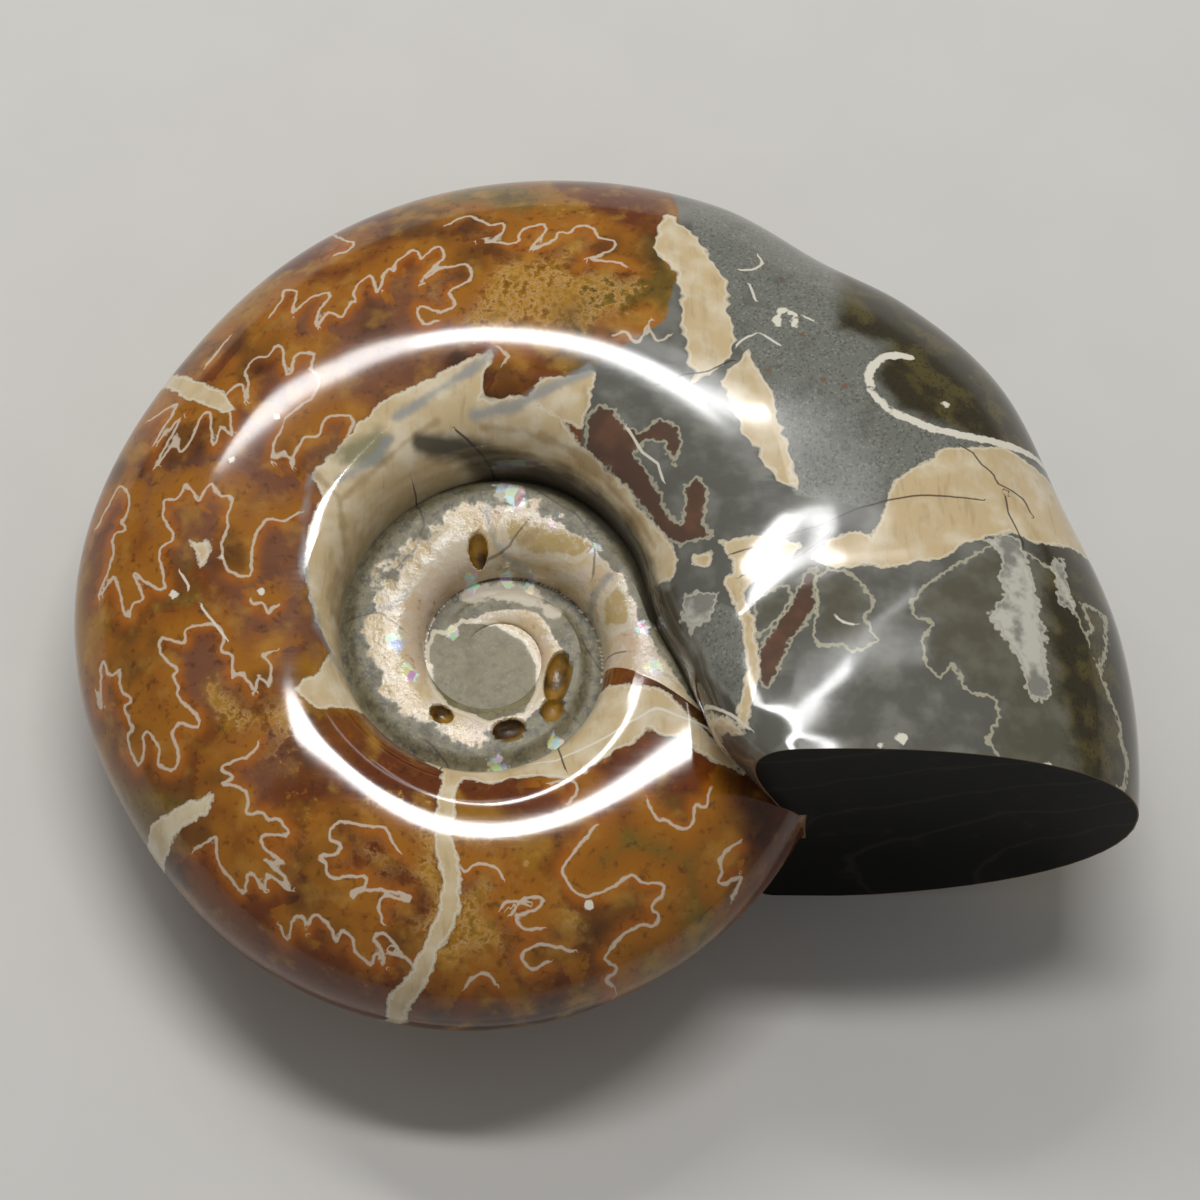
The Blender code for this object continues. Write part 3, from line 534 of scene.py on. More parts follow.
CUT_OFFSET = RIM_RADIUS[-1][1] * math.sin(math.radians(-START_ANGLE))
CUT_SEAM_RADIUS = SEAM_RADIUS[-1][1]


def cut_lead(radius):
    """How far ahead of the rim the saw cut is at a radius: the cut is straight and misses the axis."""
    return math.degrees(math.asin(CUT_OFFSET / radius)) + START_ANGLE


@functools.lru_cache(maxsize=None)
def seam_lead(turn):
    """How far the seam runs ahead of the rim. At the sawn end, the cut settles it."""
    if turn < SEAM_LEAD[-1][0]:
        return along(SEAM_LEAD, turn)
    return cut_lead(CUT_SEAM_RADIUS)


def lead(turn, radius):
    """Angle by which a row of the mesh runs ahead of a straight radial line."""
    seam, rim = seam_radius(turn), rim_radius(turn)
    if turn < -1.0:
        return seam_lead(turn + 1.0) * (radius - seam) / (seam_radius(turn + 1.0) - seam)
    share = (radius - seam) / (rim - seam)
    across_cut = cut_lead(mix(CUT_SEAM_RADIUS, RIM_RADIUS[-1][1], share))
    own = seam_lead(turn) * across_cut / cut_lead(CUT_SEAM_RADIUS)
    if turn > -1.0 + CUT_FADE:
        return own
    if radius < CUT_SEAM_RADIUS:
        under = seam_lead(0.0) * (radius - seam) / (CUT_SEAM_RADIUS - seam)
    else:
        under = cut_lead(radius)
    return own + under * (1.0 - ease((turn + 1.0) / CUT_FADE))


@functools.lru_cache(maxsize=None)
def covered_bearing(turn):
    """Bearing of the column that the next whorl's seam runs on."""
    if turn <= -1.0:
        return bearing_at(turn, seam_radius(turn + 1.0))
    even = mix(-90.0, 90.0, NEXT_SEAM)
    return mix(bearing_at(-1.0, CUT_SEAM_RADIUS), even, ease((turn + 1.0) / COVERED_FADE))


def shell_point(turn, column, side):
    """A point of the shell: column 0 is the seam and 1 the rim, side 1 the upper flank and -1 the lower."""
    covered = covered_bearing(turn)
    if column < NEXT_SEAM:
        bearing = mix(-90.0, covered, column / NEXT_SEAM)
    else:
        bearing = mix(covered, 90.0, min((column - NEXT_SEAM) / (1.0 - NEXT_SEAM), 1.0))
    radius, height = section(turn, bearing)
    angle = math.radians(START_ANGLE - 360.0 * turn - lead(turn, radius))
    if turn <= -1.0:
        height = max(height - channel(turn, radius), PLUG_HEIGHT)
    return Vector((radius * math.cos(angle), radius * math.sin(angle), side * height))


# ---------------------------------------------------------------- the shell's mesh


def add_strip(bm, rows, columns, turns, shares, side):
    """A grid whose vertices know their turn, their column and their side, but aren't placed yet."""
    turn_of, column_of, side_of = (bm.verts.layers.float[n] for n in ("turn", "column", "side"))
    made = bmesh.ops.create_grid(bm, x_segments=rows, y_segments=columns, size=1.0)["verts"]
    for vert in made:
        row = round((vert.co.x + 1.0) / 2.0 * rows)
        step = round((vert.co.y + 1.0) / 2.0 * columns)
        vert[turn_of] = mix(turns[0], turns[1], row / rows)
        vert[column_of] = mix(shares[0], shares[1], step / columns)
        vert[side_of] = side
    return made


def split_along(bm, verts, share, first_turn):
    """Halves the edges along one column, so that a strip with twice the rows can be joined there."""
    turn_of, column_of = bm.verts.layers.float["turn"], bm.verts.layers.float["column"]
    line = {v for v in verts if abs(v[column_of] - share) < SAME_ROW and v[turn_of] > first_turn - SAME_ROW}
    edges = [e for e in bm.edges if e.verts[0] in line and e.verts[1] in line]
    bmesh.ops.subdivide_edges(bm, edges=edges, cuts=1)


def coiled_shell():
    """The shell round its coil axis: the inner whorls, then the last whorl, welded along the seams."""
    bm = bmesh.new()
    layers = [bm.verts.layers.float.new(name) for name in ("turn", "column", "side")]
    inner_rows = round((-1.0 - FIRST_TURN) * ROWS_PER_TURN)
    first = -1.0 - inner_rows / ROWS_PER_TURN
    inner = (first, -1.0), (0.0, NEXT_SEAM)
    upper = add_strip(bm, inner_rows, round(UPPER_COLUMNS * NEXT_SEAM), *inner, 1.0)
    split_along(bm, upper, NEXT_SEAM, -2.0)
    add_strip(bm, inner_rows, round(LOWER_COLUMNS * NEXT_SEAM), *inner, -1.0)
    lower = add_strip(bm, ROWS_PER_TURN, LOWER_COLUMNS, (-1.0, 0.0), (0.0, 1.0), -1.0)
    split_along(bm, lower, 1.0, -1.0)
    fine_rows = 2 * ROWS_PER_TURN
    add_strip(bm, fine_rows, UPPER_COLUMNS, (-1.0, 0.0), (0.0, 1.0), 1.0)
    for vert in bm.verts:
        turn = round(vert[layers[0]] * fine_rows) / fine_rows
        vert.co = shell_point(turn, vert[layers[1]], vert[layers[2]])
    mark_finishes(bm)
    bmesh.ops.remove_doubles(bm, verts=bm.verts, dist=WELD_DISTANCE)
    close_openings(bm)
    return bm


def mark_finishes(bm):
    """Finish 0 is the polished last whorl and 1 the inner whorls in the umbilicus."""
    turn_of = bm.verts.layers.float["turn"]
    for face in bm.faces:
        face.material_index = 1 if min(v[turn_of] for v in face.verts) < -1.0 - SAME_ROW else 0
        face.smooth = True


def close_openings(bm):
    """Closes the sawn end, which is finish 2, and the plugs at the middle of the coil."""
    edges = [e for e in bm.edges if e.is_boundary]
    rim_of = bm.verts.layers.float.new("sawn_rim")
    for face in bmesh.ops.holes_fill(bm, edges=edges, sides=0)["faces"]:
        centre = face.calc_center_median()
        face.material_index = 2 if math.hypot(centre.x, centre.y) > CORE_REACH else 1
        face.smooth = False
        if face.material_index == 1:
            bmesh.ops.poke(bm, faces=[face])
            continue
        for vert in face.verts:
            vert[rim_of] = 1.0
        made = bmesh.ops.inset_region(bm, faces=[face], thickness=SAWN_RIM, use_even_offset=False)["faces"]
        for vert in face.verts:
            vert[rim_of] = 0.0
        for ring in made:
            ring.material_index, ring.smooth = 2, False
    bmesh.ops.recalc_face_normals(bm, faces=bm.faces)


def sink_chambers(bm):
    """Presses the open chambers into the upper inner whorls, as half ellipsoids."""
    depth_of = bm.verts.layers.float.new("chamber")
    for vert in bm.verts:
        if vert.co.z < 0.0 or math.hypot(vert.co.x, vert.co.y) > CORE_REACH:
            continue
        for x, y, length, width, direction, depth in OPEN_CHAMBERS:
            spot = Matrix.Rotation(math.radians(-direction), 2) @ Vector((vert.co.x - x, vert.co.y - y))
            reach = (2.0 * spot.x / length) ** 2 + (2.0 * spot.y / width) ** 2
            if reach < 1.0:
                vert[depth_of] = 1.0 - reach
                vert.co.z -= depth * math.sqrt(1.0 - reach)


# ---------------------------------------------------------------- distances to the markings (numpy, mm)


def to_segment(points, start, end):
    """(distance, share along) from points to a straight segment."""
    start, end = np.array(start, float), np.array(end, float)
    span = end - start
    share = np.clip((points - start) @ span / max(span @ span, 1e-9), 0.0, 1.0)
    return np.linalg.norm(points - start - share[:, None] * span, axis=1), share


def to_line(points, corners):
    """Distance from points to a chain of segments."""
    pairs = zip(corners[:-1], corners[1:])
    return np.min([to_segment(points, a, b)[0] for a, b in pairs], axis=0)


def to_plate(points, corners):
    """Signed distance from points to a closed outline, below zero inside it."""
    inside = np.zeros(len(points), bool)
    ring = list(corners) + [corners[0]]
    for (x0, y0), (x1, y1) in zip(ring[:-1], ring[1:]):
        spans = (y0 > points[:, 1]) != (y1 > points[:, 1])
        crossing = x0 + (points[:, 1] - y0) * (x1 - x0) / (y1 - y0 if y1 != y0 else 1e-9)
        inside ^= spans & (points[:, 0] < crossing)
    return np.where(inside, -1.0, 1.0) * to_line(points, ring)


def curve(line):
    """The soft curve that runs through the points of a line."""
    across, up = ([(i, point[axis]) for i, point in enumerate(line)] for axis in (0, 1))
    steps = np.linspace(0.0, len(line) - 1.0, 4 * len(line) - 3)
    return [(along(across, step), along(up, step)) for step in steps]


def to_plates(points, plates):
    """Signed distance from points to the nearest of some closed outlines."""
    return np.min([to_plate(points, corners) for corners in plates], axis=0)


def to_hairlines(points, lines, reach=2.0):
    """(distance with a sign for the side, plain distance) from points to the nearest of some thin lines.

    The signed distance runs through zero on the line, so a line stays whole on a mesh coarser than it is.
    """
    plain = np.full(len(points), reach)
    signed = plain.copy()
    for line in lines:
        for start, end in zip(line[:-1], line[1:]):
            low, high = np.minimum(start, end) - reach, np.maximum(start, end) + reach
            close = np.flatnonzero(((points > low) & (points < high)).all(axis=1))
            distance = to_segment(points[close], start, end)[0]
            nearer = distance < plain[close]
            close, distance = close[nearer], distance[nearer]
            span, off = np.array(end) - start, points[close] - start
            side = np.where(span[0] * off[:, 1] < span[1] * off[:, 0], -1.0, 1.0)
            plain[close] = distance
            signed[close] = distance * side
    return signed, plain


def cloud(points, blobs):
    """How much of a colour cloud is at the points, 0 to 1."""
    total = np.zeros(len(points))
    for x, y, radius in blobs:
        total += np.exp(-((points[:, 0] - x) ** 2 + (points[:, 1] - y) ** 2) / radius**2)
    return np.minimum(total, 1.0)


def marking_points(co):
    """Where on the map of markings each point reads. Under the rim the map turns, so the flanks differ."""
    turned = np.radians(MAP_TURN_BELOW) * np.clip(-co[:, 2] / MAP_TURN_DEPTH, 0.0, 1.0) ** 1.5
    cos, sin = np.cos(turned), np.sin(turned)
    return np.column_stack((co[:, 0] * cos - co[:, 1] * sin, co[:, 0] * sin + co[:, 1] * cos))


def paint_fields(mesh, turn):
    """Stores on the mesh what the materials need to know of each marking."""
    co = np.empty(len(mesh.vertices) * 3)
    mesh.vertices.foreach_get("co", co)
    points = marking_points(co.reshape(-1, 3))
    late = turn > LAST_CHAMBER_TURN

    def strokes(lines):
        return [to_line(points, line) - half for half, line in lines]

    def in_chamber(distance):
        return np.where(late, distance, FAR)

    nodules = [np.hypot(points[:, 0] - x, points[:, 1] - y) - r for x, y, r in PALE_NODULES]
    fields = {
        "tan": np.min([to_plates(points, TAN_PLATES), *strokes(TAN_WALLS)], axis=0),
        "frilled": to_plates(points, FRILLED_PLATES),
        "limestone": in_chamber(to_plates(points, LIMESTONE)),
        "clear": in_chamber(to_plates(points, CLEAR_CALCITE)),
        "mud": in_chamber(to_plates(points, DARK_MUD)),
        "shaded_dark_wall": in_chamber(to_plate(points, SHADED_DARK_WALL)),
        "spar": in_chamber(to_plates(points, WHITE_SPAR)),
        "fold": in_chamber(to_plates(points, FOLDS)),
        "plum": in_chamber(to_plates(points, PLUM_PLATES)),
        "pale": np.min(strokes(PALE_SHELL) + nodules, axis=0),
        "core": to_plate(points, CORE_MUD),
        "fill": to_plates(points, NACRE_FILLS),
        "window": to_plates(points, WINDOWS),
        "blue_seam": np.min(strokes(BLUE_SEAMS), axis=0),
        "green_patch": to_plate(points, GREEN_PATCH),
        "shaded_crevice": to_line(points, SHADED_CREVICE),
        "wall_strip": np.min(strokes(WALL_STRIPS), axis=0),
        "pearl": cloud(points, PEARLS),
        "rainbow": cloud(points, RAINBOWS),
    }
    fields["suture"], fields["suture_far"] = to_hairlines(points, [curve(line) for line in SUTURES], 3.0)
    fields["hairline"], fields["hairline_far"] = to_hairlines(points, PALE_LINES)
    fields["crack"], fields["crack_far"] = to_hairlines(points, CRACKS)
    fields.update({name: cloud(points, blobs) for name, blobs in CLOUDS.items()})
    for name, values in fields.items():
        mesh.attributes.new(name, "FLOAT", "POINT").data.foreach_set("value", np.clip(values, -FAR, FAR))


# ---------------------------------------------------------------- materials


def linear(hex_colour):
    """An sRGB hex colour as linear red, green, blue and alpha."""
    parts = [int(hex_colour[i : i + 2], 16) / 255.0 for i in (1, 3, 5)]
    return tuple(c / 12.92 if c <= 0.04045 else ((c + 0.055) / 1.055) ** 2.4 for c in parts) + (1.0,)


def add_node(tree, kind, inputs=None, output=None, **settings):
    """Adds a shader node with its settings and links, and returns one of its outputs.

    Keys of inputs are socket names or numbers. A socket is linked, a text reads that field of the mesh, and
    anything else is set as the socket's value.
    """
    node = tree.nodes.new("ShaderNode" + kind)
    for name, value in settings.items():
        setattr(node, name, value)
    sockets = [s for s in node.inputs if s.enabled]
    for key, value in (inputs or {}).items():
        socket = sockets[key] if isinstance(key, int) else next(s for s in sockets if s.name == key)
        if isinstance(value, str):
            value = add_node(tree, "Attribute", output="Fac", attribute_name=value)
        if isinstance(value, bpy.types.NodeSocket):
            tree.links.new(value, socket)
        else:
            socket.default_value = value
    return node.outputs[output] if output else next(o for o in node.outputs if o.enabled)


def new_material(name, **settings):
    """A material with one Principled shader, and its place in millimetres."""
    material = bpy.data.materials.new(name)
    material.use_nodes = True
    tree = material.node_tree
    shader = tree.nodes["Principled BSDF"]
    for key, value in settings.items():
        shader.inputs[key.replace("_", " ").title().replace("Ior", "IOR")].default_value = value
    place = add_node(tree, "TexCoord", output="Object")
    mm = add_node(tree, "Mapping", {"Vector": place, "Scale": (1000.0, 1000.0, 1000.0)})
    return material, tree, shader, mm


def lay_coats(tree, ground, coats):
    """Lays coats of colour over a ground colour, and returns what shows.

    A coat is its colour, the field that places it, the field's values where it starts and where it is full,
    its strength, and if need be a second field that thins it. A coat that starts farther from zero than it is
    full, with neither below zero, lies on both sides of the field's zero, as a line.
    """
    for colour, field, start, full, strength, *thinned in coats:
        if start > full >= 0.0:
            field = add_node(tree, "Math", {0: field}, operation="ABSOLUTE")
        share = add_node(
            tree, "MapRange", {"Value": field, "From Min": start, "From Max": full, "To Max": strength},
            interpolation_type="SMOOTHSTEP",
        )
        if thinned:
            share = add_node(tree, "Math", {0: share, 1: thinned[0]}, operation="MULTIPLY")
        ground = add_node(tree, "Mix", {0: share, 1: ground, 2: colour}, data_type="RGBA")
    return ground


def swaying(tree, field, *waves):
    """A field swayed by patterns that run from 0 to 1, each times its height, about the field's own value."""
    for pattern, height in waves:
        field = add_node(tree, "Math", {0: pattern, 1: height, 2: field}, operation="MULTIPLY_ADD")
    middle = sum(height for _, height in waves) / 2.0
    return add_node(tree, "Math", {0: field, 1: middle}, operation="SUBTRACT")


# Grain of the minerals: node, size in mm, output and settings.
GRAIN = {
    "drifts": ("TexNoise", 6.0, "Fac", {"Detail": 2.0}),
    "veins": ("TexNoise", 2.2, "Fac", {"Detail": 4.0}),
    "crystals": ("TexNoise", 0.7, "Fac", {"Detail": 5.0, "Roughness": 0.62}),
    "lobes": ("TexVoronoi", 1.0, "Distance", {}),
    "scallops": ("TexVoronoi", 0.45, "Distance", {}),
    "sand": ("TexVoronoi", 0.16, "Color", {}),
    "spots": ("TexVoronoi", 3.2, "Distance", {}),
    "flakes": ("TexVoronoi", 0.7, "Color", {}),
}


def grain_of(tree, mm, name):
    """The pattern of one of the minerals' grains."""
    kind, size, output, settings = GRAIN[name]
    return add_node(tree, kind, {"Vector": mm, "Scale": 1.0 / size, **settings}, output=output)


def scratches(tree, mm):
    """Fine lapping scratches: noise drawn out along one direction."""
    turned = add_node(
        tree, "Mapping", {"Vector": mm, "Rotation": (0.0, 0.0, math.radians(28.0)), "Scale": (0.25, 7.0, 7.0)}
    )
    return add_node(tree, "TexNoise", {"Vector": turned, "Scale": 1.0, "Detail": 2.0})


def chamber_calcite(tree, look, veins, drifts, crystals):
    """Clouded amber crystal: gold, russet, olive and mauve clouds, with grains of yellow crystal."""
    clouds = {name: swaying(tree, name, (veins, 1.2), (drifts, 0.4)) for name in CLOUDS}
    yellow = swaying(tree, clouds["crystal"], (crystals, 3.0))
    outline = add_node(tree, "Math", {0: yellow, 1: 1.0}, operation="SUBTRACT")
    return lay_coats(tree, look.amber, [
        (look.umber, drifts, 0.52, 0.3, 0.6),
        (look.russet, clouds["russet"], 0.2, 0.6, 0.9),
        (look.gold, clouds["gold"], 0.2, 0.6, 0.95),
        (look.olive, clouds["olive"], 0.25, 0.65, 0.85),
        (look.mauve, clouds["mauve"], 0.25, 0.75, 0.75),
        (look.crystal, yellow, 0.6, 1.1, 0.7),
        (look.olive, yellow, 1.2, 1.5, 0.8),
        (look.suture, outline, 0.1, 0.0, 0.35),
        (look.glow, crystals, 0.56, 0.72, 0.25),
    ])


def beside_sutures(tree, look, calcite, veins, drifts, crystals):
    """Calcite near a suture line: gold before it, and inside its folds bright amber, then russet or mauve."""
    mauve = swaying(tree, "mauve", (veins, 0.8))
    lining = lay_coats(tree, look.lining, [(look.lining_mauve, mauve, 0.1, 0.6, 1.0)])
    away = swaying(tree, "suture_far", (veins, 1.8), (drifts, 1.6))
    near = add_node(tree, "MapRange", {"Value": away, "From Min": 2.3, "From Max": 0.4})
    side = swaying(tree, "suture", (veins, 0.9))
    return lay_coats(tree, calcite, [
        (lining, near, 0.0, 0.8, 0.75),
        (look.glow, side, -1.2, -0.1, 0.8, near),
        (look.gold, "suture", 0.0, 0.1, 0.5, near),
        (look.umber, drifts, 0.47, 0.3, 0.6),
        (look.umber, crystals, 0.47, 0.3, 0.5),
        (look.crystal, veins, 0.5, 0.75, 0.5),
    ])


def last_chamber(tree, look, under, fold, plum, veins, sand, spots):
    """Clear grey calcite, plum-coloured and stained in places, painted shade on the dark wall by the
    umbilicus, and the limestone and mud beside it.
    """
    shaded_dark_wall = swaying(tree, "shaded_dark_wall", (veins, 1.0))
    mud = swaying(tree, "mud", (veins, 1.8), (sand, 0.5))
    stained = lay_coats(tree, look.plum, [(look.mauve, veins, 0.45, 0.7, 0.5)])
    clear = lay_coats(tree, look.clear_grey, [
        (look.clear_pale, veins, 0.4, 0.7, 1.0),
        (look.mud_pale, fold, 0.0, -0.9, 0.4),
        # Dark matrix and painted shade on the steep wall by the umbilicus.
        (look.shaded_dark_wall, shaded_dark_wall, 0.3, -0.3, 1.0),
        (stained, plum, 0.05, -0.25, 0.95),
    ])
    stone = lay_coats(tree, look.limestone, [
        (look.limestone_dark, sand, 0.68, 0.8, 0.55),
        (look.limestone_pale, sand, 0.26, 0.16, 0.45),
        (look.limestone_dark, veins, 0.5, 0.75, 0.4),
        (look.rust, spots, 0.12, 0.04, 0.6),
    ])
    olive_mud = lay_coats(tree, look.mud, [
        (look.mud_pale, veins, 0.45, 0.65, 1.0),
        (look.umber, sand, 0.7, 0.8, 0.6),
    ])
    limestone = swaying(tree, "limestone", (veins, 0.6))
    return lay_coats(tree, under, [
        (clear, swaying(tree, "clear", (veins, 1.0)), 0.15, -0.15, 1.0),
        (stone, limestone, 0.12, -0.12, 1.0),
        (olive_mud, mud, 0.7, -0.9, 1.0),
    ]), limestone


def shell_wall(tree, look, mm, veins):
    """Thick aragonite shell: tan, with fibres across it and worn pale patches."""
    along_walls = {"Rotation": (0.0, 0.0, math.radians(-20.0)), "Scale": (1.8, 0.35, 0.35)}
    drawn = add_node(tree, "Mapping", {"Vector": mm, **along_walls})
    fibres = add_node(tree, "TexNoise", {"Vector": drawn, "Scale": 1.0, "Detail": 3.0, "Distortion": 0.6})
    return lay_coats(tree, look.tan, [
        (look.tan_dark, fibres, 0.5, 0.75, 0.3),
        (look.tan_pale, veins, 0.4, 0.75, 0.8),
    ])


def polished_fossil(look):
    """Calcite, aragonite and limestone, ground flush and lapped.

    One glassy surface runs over all of them: amber calcite crystals fill the chambers, folded suture walls
    show as thin cream lines, thick shell walls as fibrous tan bands, and limestone mud as dull speckled grey.
    """
    material, tree, shader, mm = new_material("lapped_ammonite_calcite", ior=1.6)
    names = ("drifts", "veins", "crystals", "lobes", "scallops", "sand", "spots")
    drifts, veins, crystals, lobes, scallops, sand, spots = (grain_of(tree, mm, name) for name in names)

    suture = swaying(tree, "suture", (lobes, 0.2), (scallops, 0.12))
    fold_edge = swaying(tree, "fold", (scallops, 0.35), (veins, 0.3))
    plum_edge = swaying(tree, "plum", (scallops, 0.4), (veins, 0.8))
    tan_edge = swaying(tree, "tan", (veins, 0.8), (crystals, 0.8))
    frilled_edge = swaying(tree, "frilled", (lobes, -0.7))
    tan_edge = add_node(tree, "Math", {0: tan_edge, 1: frilled_edge}, operation="MINIMUM")
    window = swaying(tree, "window", (lobes, 0.5), (veins, 0.6))
    wall_end = add_node(tree, "Math", {0: window, 1: -1.0}, operation="MULTIPLY")
    tan_edge = add_node(tree, "Math", {0: tan_edge, 1: wall_end}, operation="MAXIMUM")

    colour = chamber_calcite(tree, look, veins, drifts, crystals)
    colour = beside_sutures(tree, look, colour, veins, drifts, crystals)
    colour, limestone = last_chamber(tree, look, colour, fold_edge, plum_edge, veins, sand, spots)

    off_stone = add_node(tree, "MapRange", {"Value": limestone, "From Min": -0.2, "From Max": 0.2})
    hairline = swaying(tree, "hairline", (veins, 0.3))
    crack = swaying(tree, "crack", (veins, 0.3))
    near_hairline, near_crack, near_suture = (
        add_node(tree, "MapRange", {"Value": name, "From Min": 0.45, "From Max": 0.3})
        for name in ("hairline_far", "crack_far", "suture_far")
    )
    near_suture = add_node(tree, "Math", {0: near_suture, 1: off_stone}, operation="MULTIPLY")
    spar = swaying(tree, "spar", (scallops, 0.5), (veins, 1.8))
    white_spar = lay_coats(tree, look.spar, [(look.clear_pale, veins, 0.52, 0.36, 0.85)])
    colour = lay_coats(tree, colour, [
        (look.suture, suture, 0.15, 0.05, 0.85, near_suture),
        (look.fold_line, fold_edge, 0.17, 0.05, 0.8, off_stone),
        (look.fold_line, plum_edge, 0.15, 0.05, 0.7, off_stone),
        (white_spar, spar, 0.15, -0.35, 0.85),
        (look.cream, spar, 0.2, 0.05, 0.5),
        (look.umber, tan_edge, 0.25, 0.05, 0.5),
        (shell_wall(tree, look, mm, veins), tan_edge, 0.05, -0.05, 1.0),
        (look.tan_pale, tan_edge, 0.18, 0.06, 0.7),
        (look.tan_dark, swaying(tree, "wall_strip", (veins, 0.9)), 0.3, -0.1, 0.5),
        (look.green_patch, swaying(tree, "green_patch", (veins, 2.0)), 0.4, -0.9, 0.85),
        (look.blue_seam, swaying(tree, "blue_seam", (veins, 1.2)), 0.35, -0.3, 0.75),
        # Painted shade: a dark colour along the crevice at the foot of the umbilicus wall.
        (look.shaded_crevice, swaying(tree, "shaded_crevice", (veins, 0.6)), 1.0, 0.3, 0.9),
        (look.cream, swaying(tree, "pale", (veins, 0.25), (crystals, 0.6)), 0.06, -0.06, 1.0),
        (look.cream, hairline, 0.13, 0.05, 0.9, near_hairline),
        (look.crack, crack, 0.11, 0.03, 0.85, near_crack),
    ])
    tree.links.new(colour, shader.inputs["Base Color"])

    grooves = scratches(tree, mm)
    depth = 0.08
    smooth = look.polish_roughness - depth / 2.0
    sheen = add_node(tree, "Math", {0: grooves, 1: depth, 2: smooth}, operation="MULTIPLY_ADD")
    dull = add_node(tree, "MapRange", {"Value": limestone, "From Min": 0.1, "From Max": -0.1, "To Max": 0.08})
    rough = add_node(tree, "Math", {0: sheen, 1: dull}, operation="ADD")
    tree.links.new(rough, shader.inputs["Roughness"])
    return material


def inner_whorls(look):
    """Nacre and limestone, polished less evenly than the flank because the umbilicus is sunken.

    The nacre is cream to tan, with tan fillings and rainbow spots; the channel beside it is dull mud.
    """
    material, tree, shader, mm = new_material("umbilicus_nacre_and_limestone", ior=1.6)
    names = ("drifts", "veins", "crystals", "sand", "flakes")
    drifts, veins, crystals, sand, flakes = (grain_of(tree, mm, name) for name in names)
    rainbow = add_node(tree, "HueSaturation", {"Color": flakes, "Saturation": 0.55, "Value": 1.2})
    shine = swaying(tree, "rainbow", (crystals, 1.6))
    edge = swaying(tree, "channel_edge", (veins, 0.35), (crystals, 0.12))
    core = swaying(tree, "core", (crystals, 0.6))
    fill = swaying(tree, "fill", (veins, 1.6), (crystals, 0.5))
    filling = lay_coats(tree, look.nacre_fill, [
        (look.tan_dark, veins, 0.5, 0.68, 0.55),
        (look.nacre, crystals, 0.5, 0.66, 0.45),
    ])
    stone = lay_coats(tree, look.channel, [
        (look.limestone_dark, crystals, 0.45, 0.65, 0.7),
        (look.limestone_pale, sand, 0.3, 0.15, 0.4),
        (look.mud_pale, veins, 0.5, 0.65, 0.5),
    ])
    pit = lay_coats(tree, look.pit, [(look.pit_dark, veins, 0.4, 0.65, 1.0)])
    crack = swaying(tree, "crack", (veins, 0.5))
    colour = lay_coats(tree, shell_wall(tree, look, mm, veins), [
        (look.nacre, veins, 0.42, 0.62, 0.75),
        (look.nacre_pink, drifts, 0.45, 0.6, 0.5),
        (look.cream, crystals, 0.58, 0.7, 0.6),
        (look.tan_dark, crystals, 0.42, 0.3, 0.6),
        (filling, fill, 0.3, -0.5, 0.85),
        (look.cream, fill, 0.4, 0.2, 0.4),
        (look.blue_seam, swaying(tree, "blue_seam", (crystals, 0.8)), 0.2, -0.25, 0.6),
        (rainbow, shine, 0.4, 0.75, 0.8),
        (stone, edge, 0.0, 0.03, 1.0),
        (stone, core, 0.1, -0.1, 1.0),
        (look.core_mud, core, 0.1, -0.6, 0.35),
        (look.nacre, swaying(tree, "pearl", (crystals, 1.0)), 0.45, 0.7, 0.85),
        (rainbow, shine, 0.6, 0.85, 0.7),
        (look.tan_pale, core, 0.25, 0.1, 0.8),
        (look.crack, crack, 0.13, 0.03, 0.6),
        # Painted shade: a dark colour along the crevice at the foot of the umbilicus wall.
        (look.shaded_crevice, swaying(tree, "shaded_crevice", (veins, 0.6)), 1.0, 0.3, 0.9),
        (pit, "chamber", 0.02, 0.12, 1.0),
    ])
    tree.links.new(colour, shader.inputs["Base Color"])
    inside = add_node(tree, "Math", {0: core, 1: -0.1}, operation="MULTIPLY")
    dull = add_node(tree, "Math", {0: edge, 1: inside}, operation="MAXIMUM")
    ends = {"From Min": 0.0, "From Max": 0.04, "To Min": 0.18, "To Max": 0.5}
    tree.links.new(add_node(tree, "MapRange", {"Value": dull, **ends}), shader.inputs["Roughness"])
    relief = swaying(tree, crystals, (veins, 2.0))
    bump = add_node(tree, "Bump", {"Strength": 0.2, "Distance": 0.0003, "Height": relief})
    tree.links.new(bump, shader.inputs["Normal"])
    return material


def sawn_face(look):
    """Dark calcite of the body chamber, sawn across and polished: nearly black, partly as painted shade and
    dark reflection, with faint growth rings.
    """
    material, tree, shader, mm = new_material(
        "sawn_calcite_painted_shade", roughness=0.35, ior=1.5, specular_ior_level=0.05
    )
    round_axis = {"Location": (-24.0, 0.0, -6.0), "Scale": (0.4, 0.0, 1.0)}
    placed = add_node(tree, "Mapping", {"Vector": mm, **round_axis})
    reach = add_node(tree, "VectorMath", {0: placed}, output="Value", operation="LENGTH")
    reach = swaying(tree, reach, (grain_of(tree, mm, "drifts"), 3.0))
    phase = add_node(tree, "Math", {0: reach, 1: 1.6}, operation="MULTIPLY")
    rings = add_node(tree, "Math", {0: phase}, operation="SINE")
    # The near-black ground of the sawn face is partly painted shade and dark reflection.
    colour = lay_coats(tree, look.sawn, [
        (look.sawn_ring, rings, 0.95, 1.0, 0.6),
        (look.mud, grain_of(tree, mm, "veins"), 0.6, 0.75, 0.3),
        (look.tan_dark, "sawn_rim", 0.35, 0.9, 0.8),
    ])
    tree.links.new(colour, shader.inputs["Base Color"])
    return material


# ---------------------------------------------------------------- settings a user would change


def colour_setting(name, hex_colour, description):
    """A colour a user can change, given as an sRGB hex colour."""
    return bpy.props.FloatVectorProperty(
        name=name, description=description, default=linear(hex_colour),
        subtype="COLOR", size=4, min=0.0, max=1.0,
    )


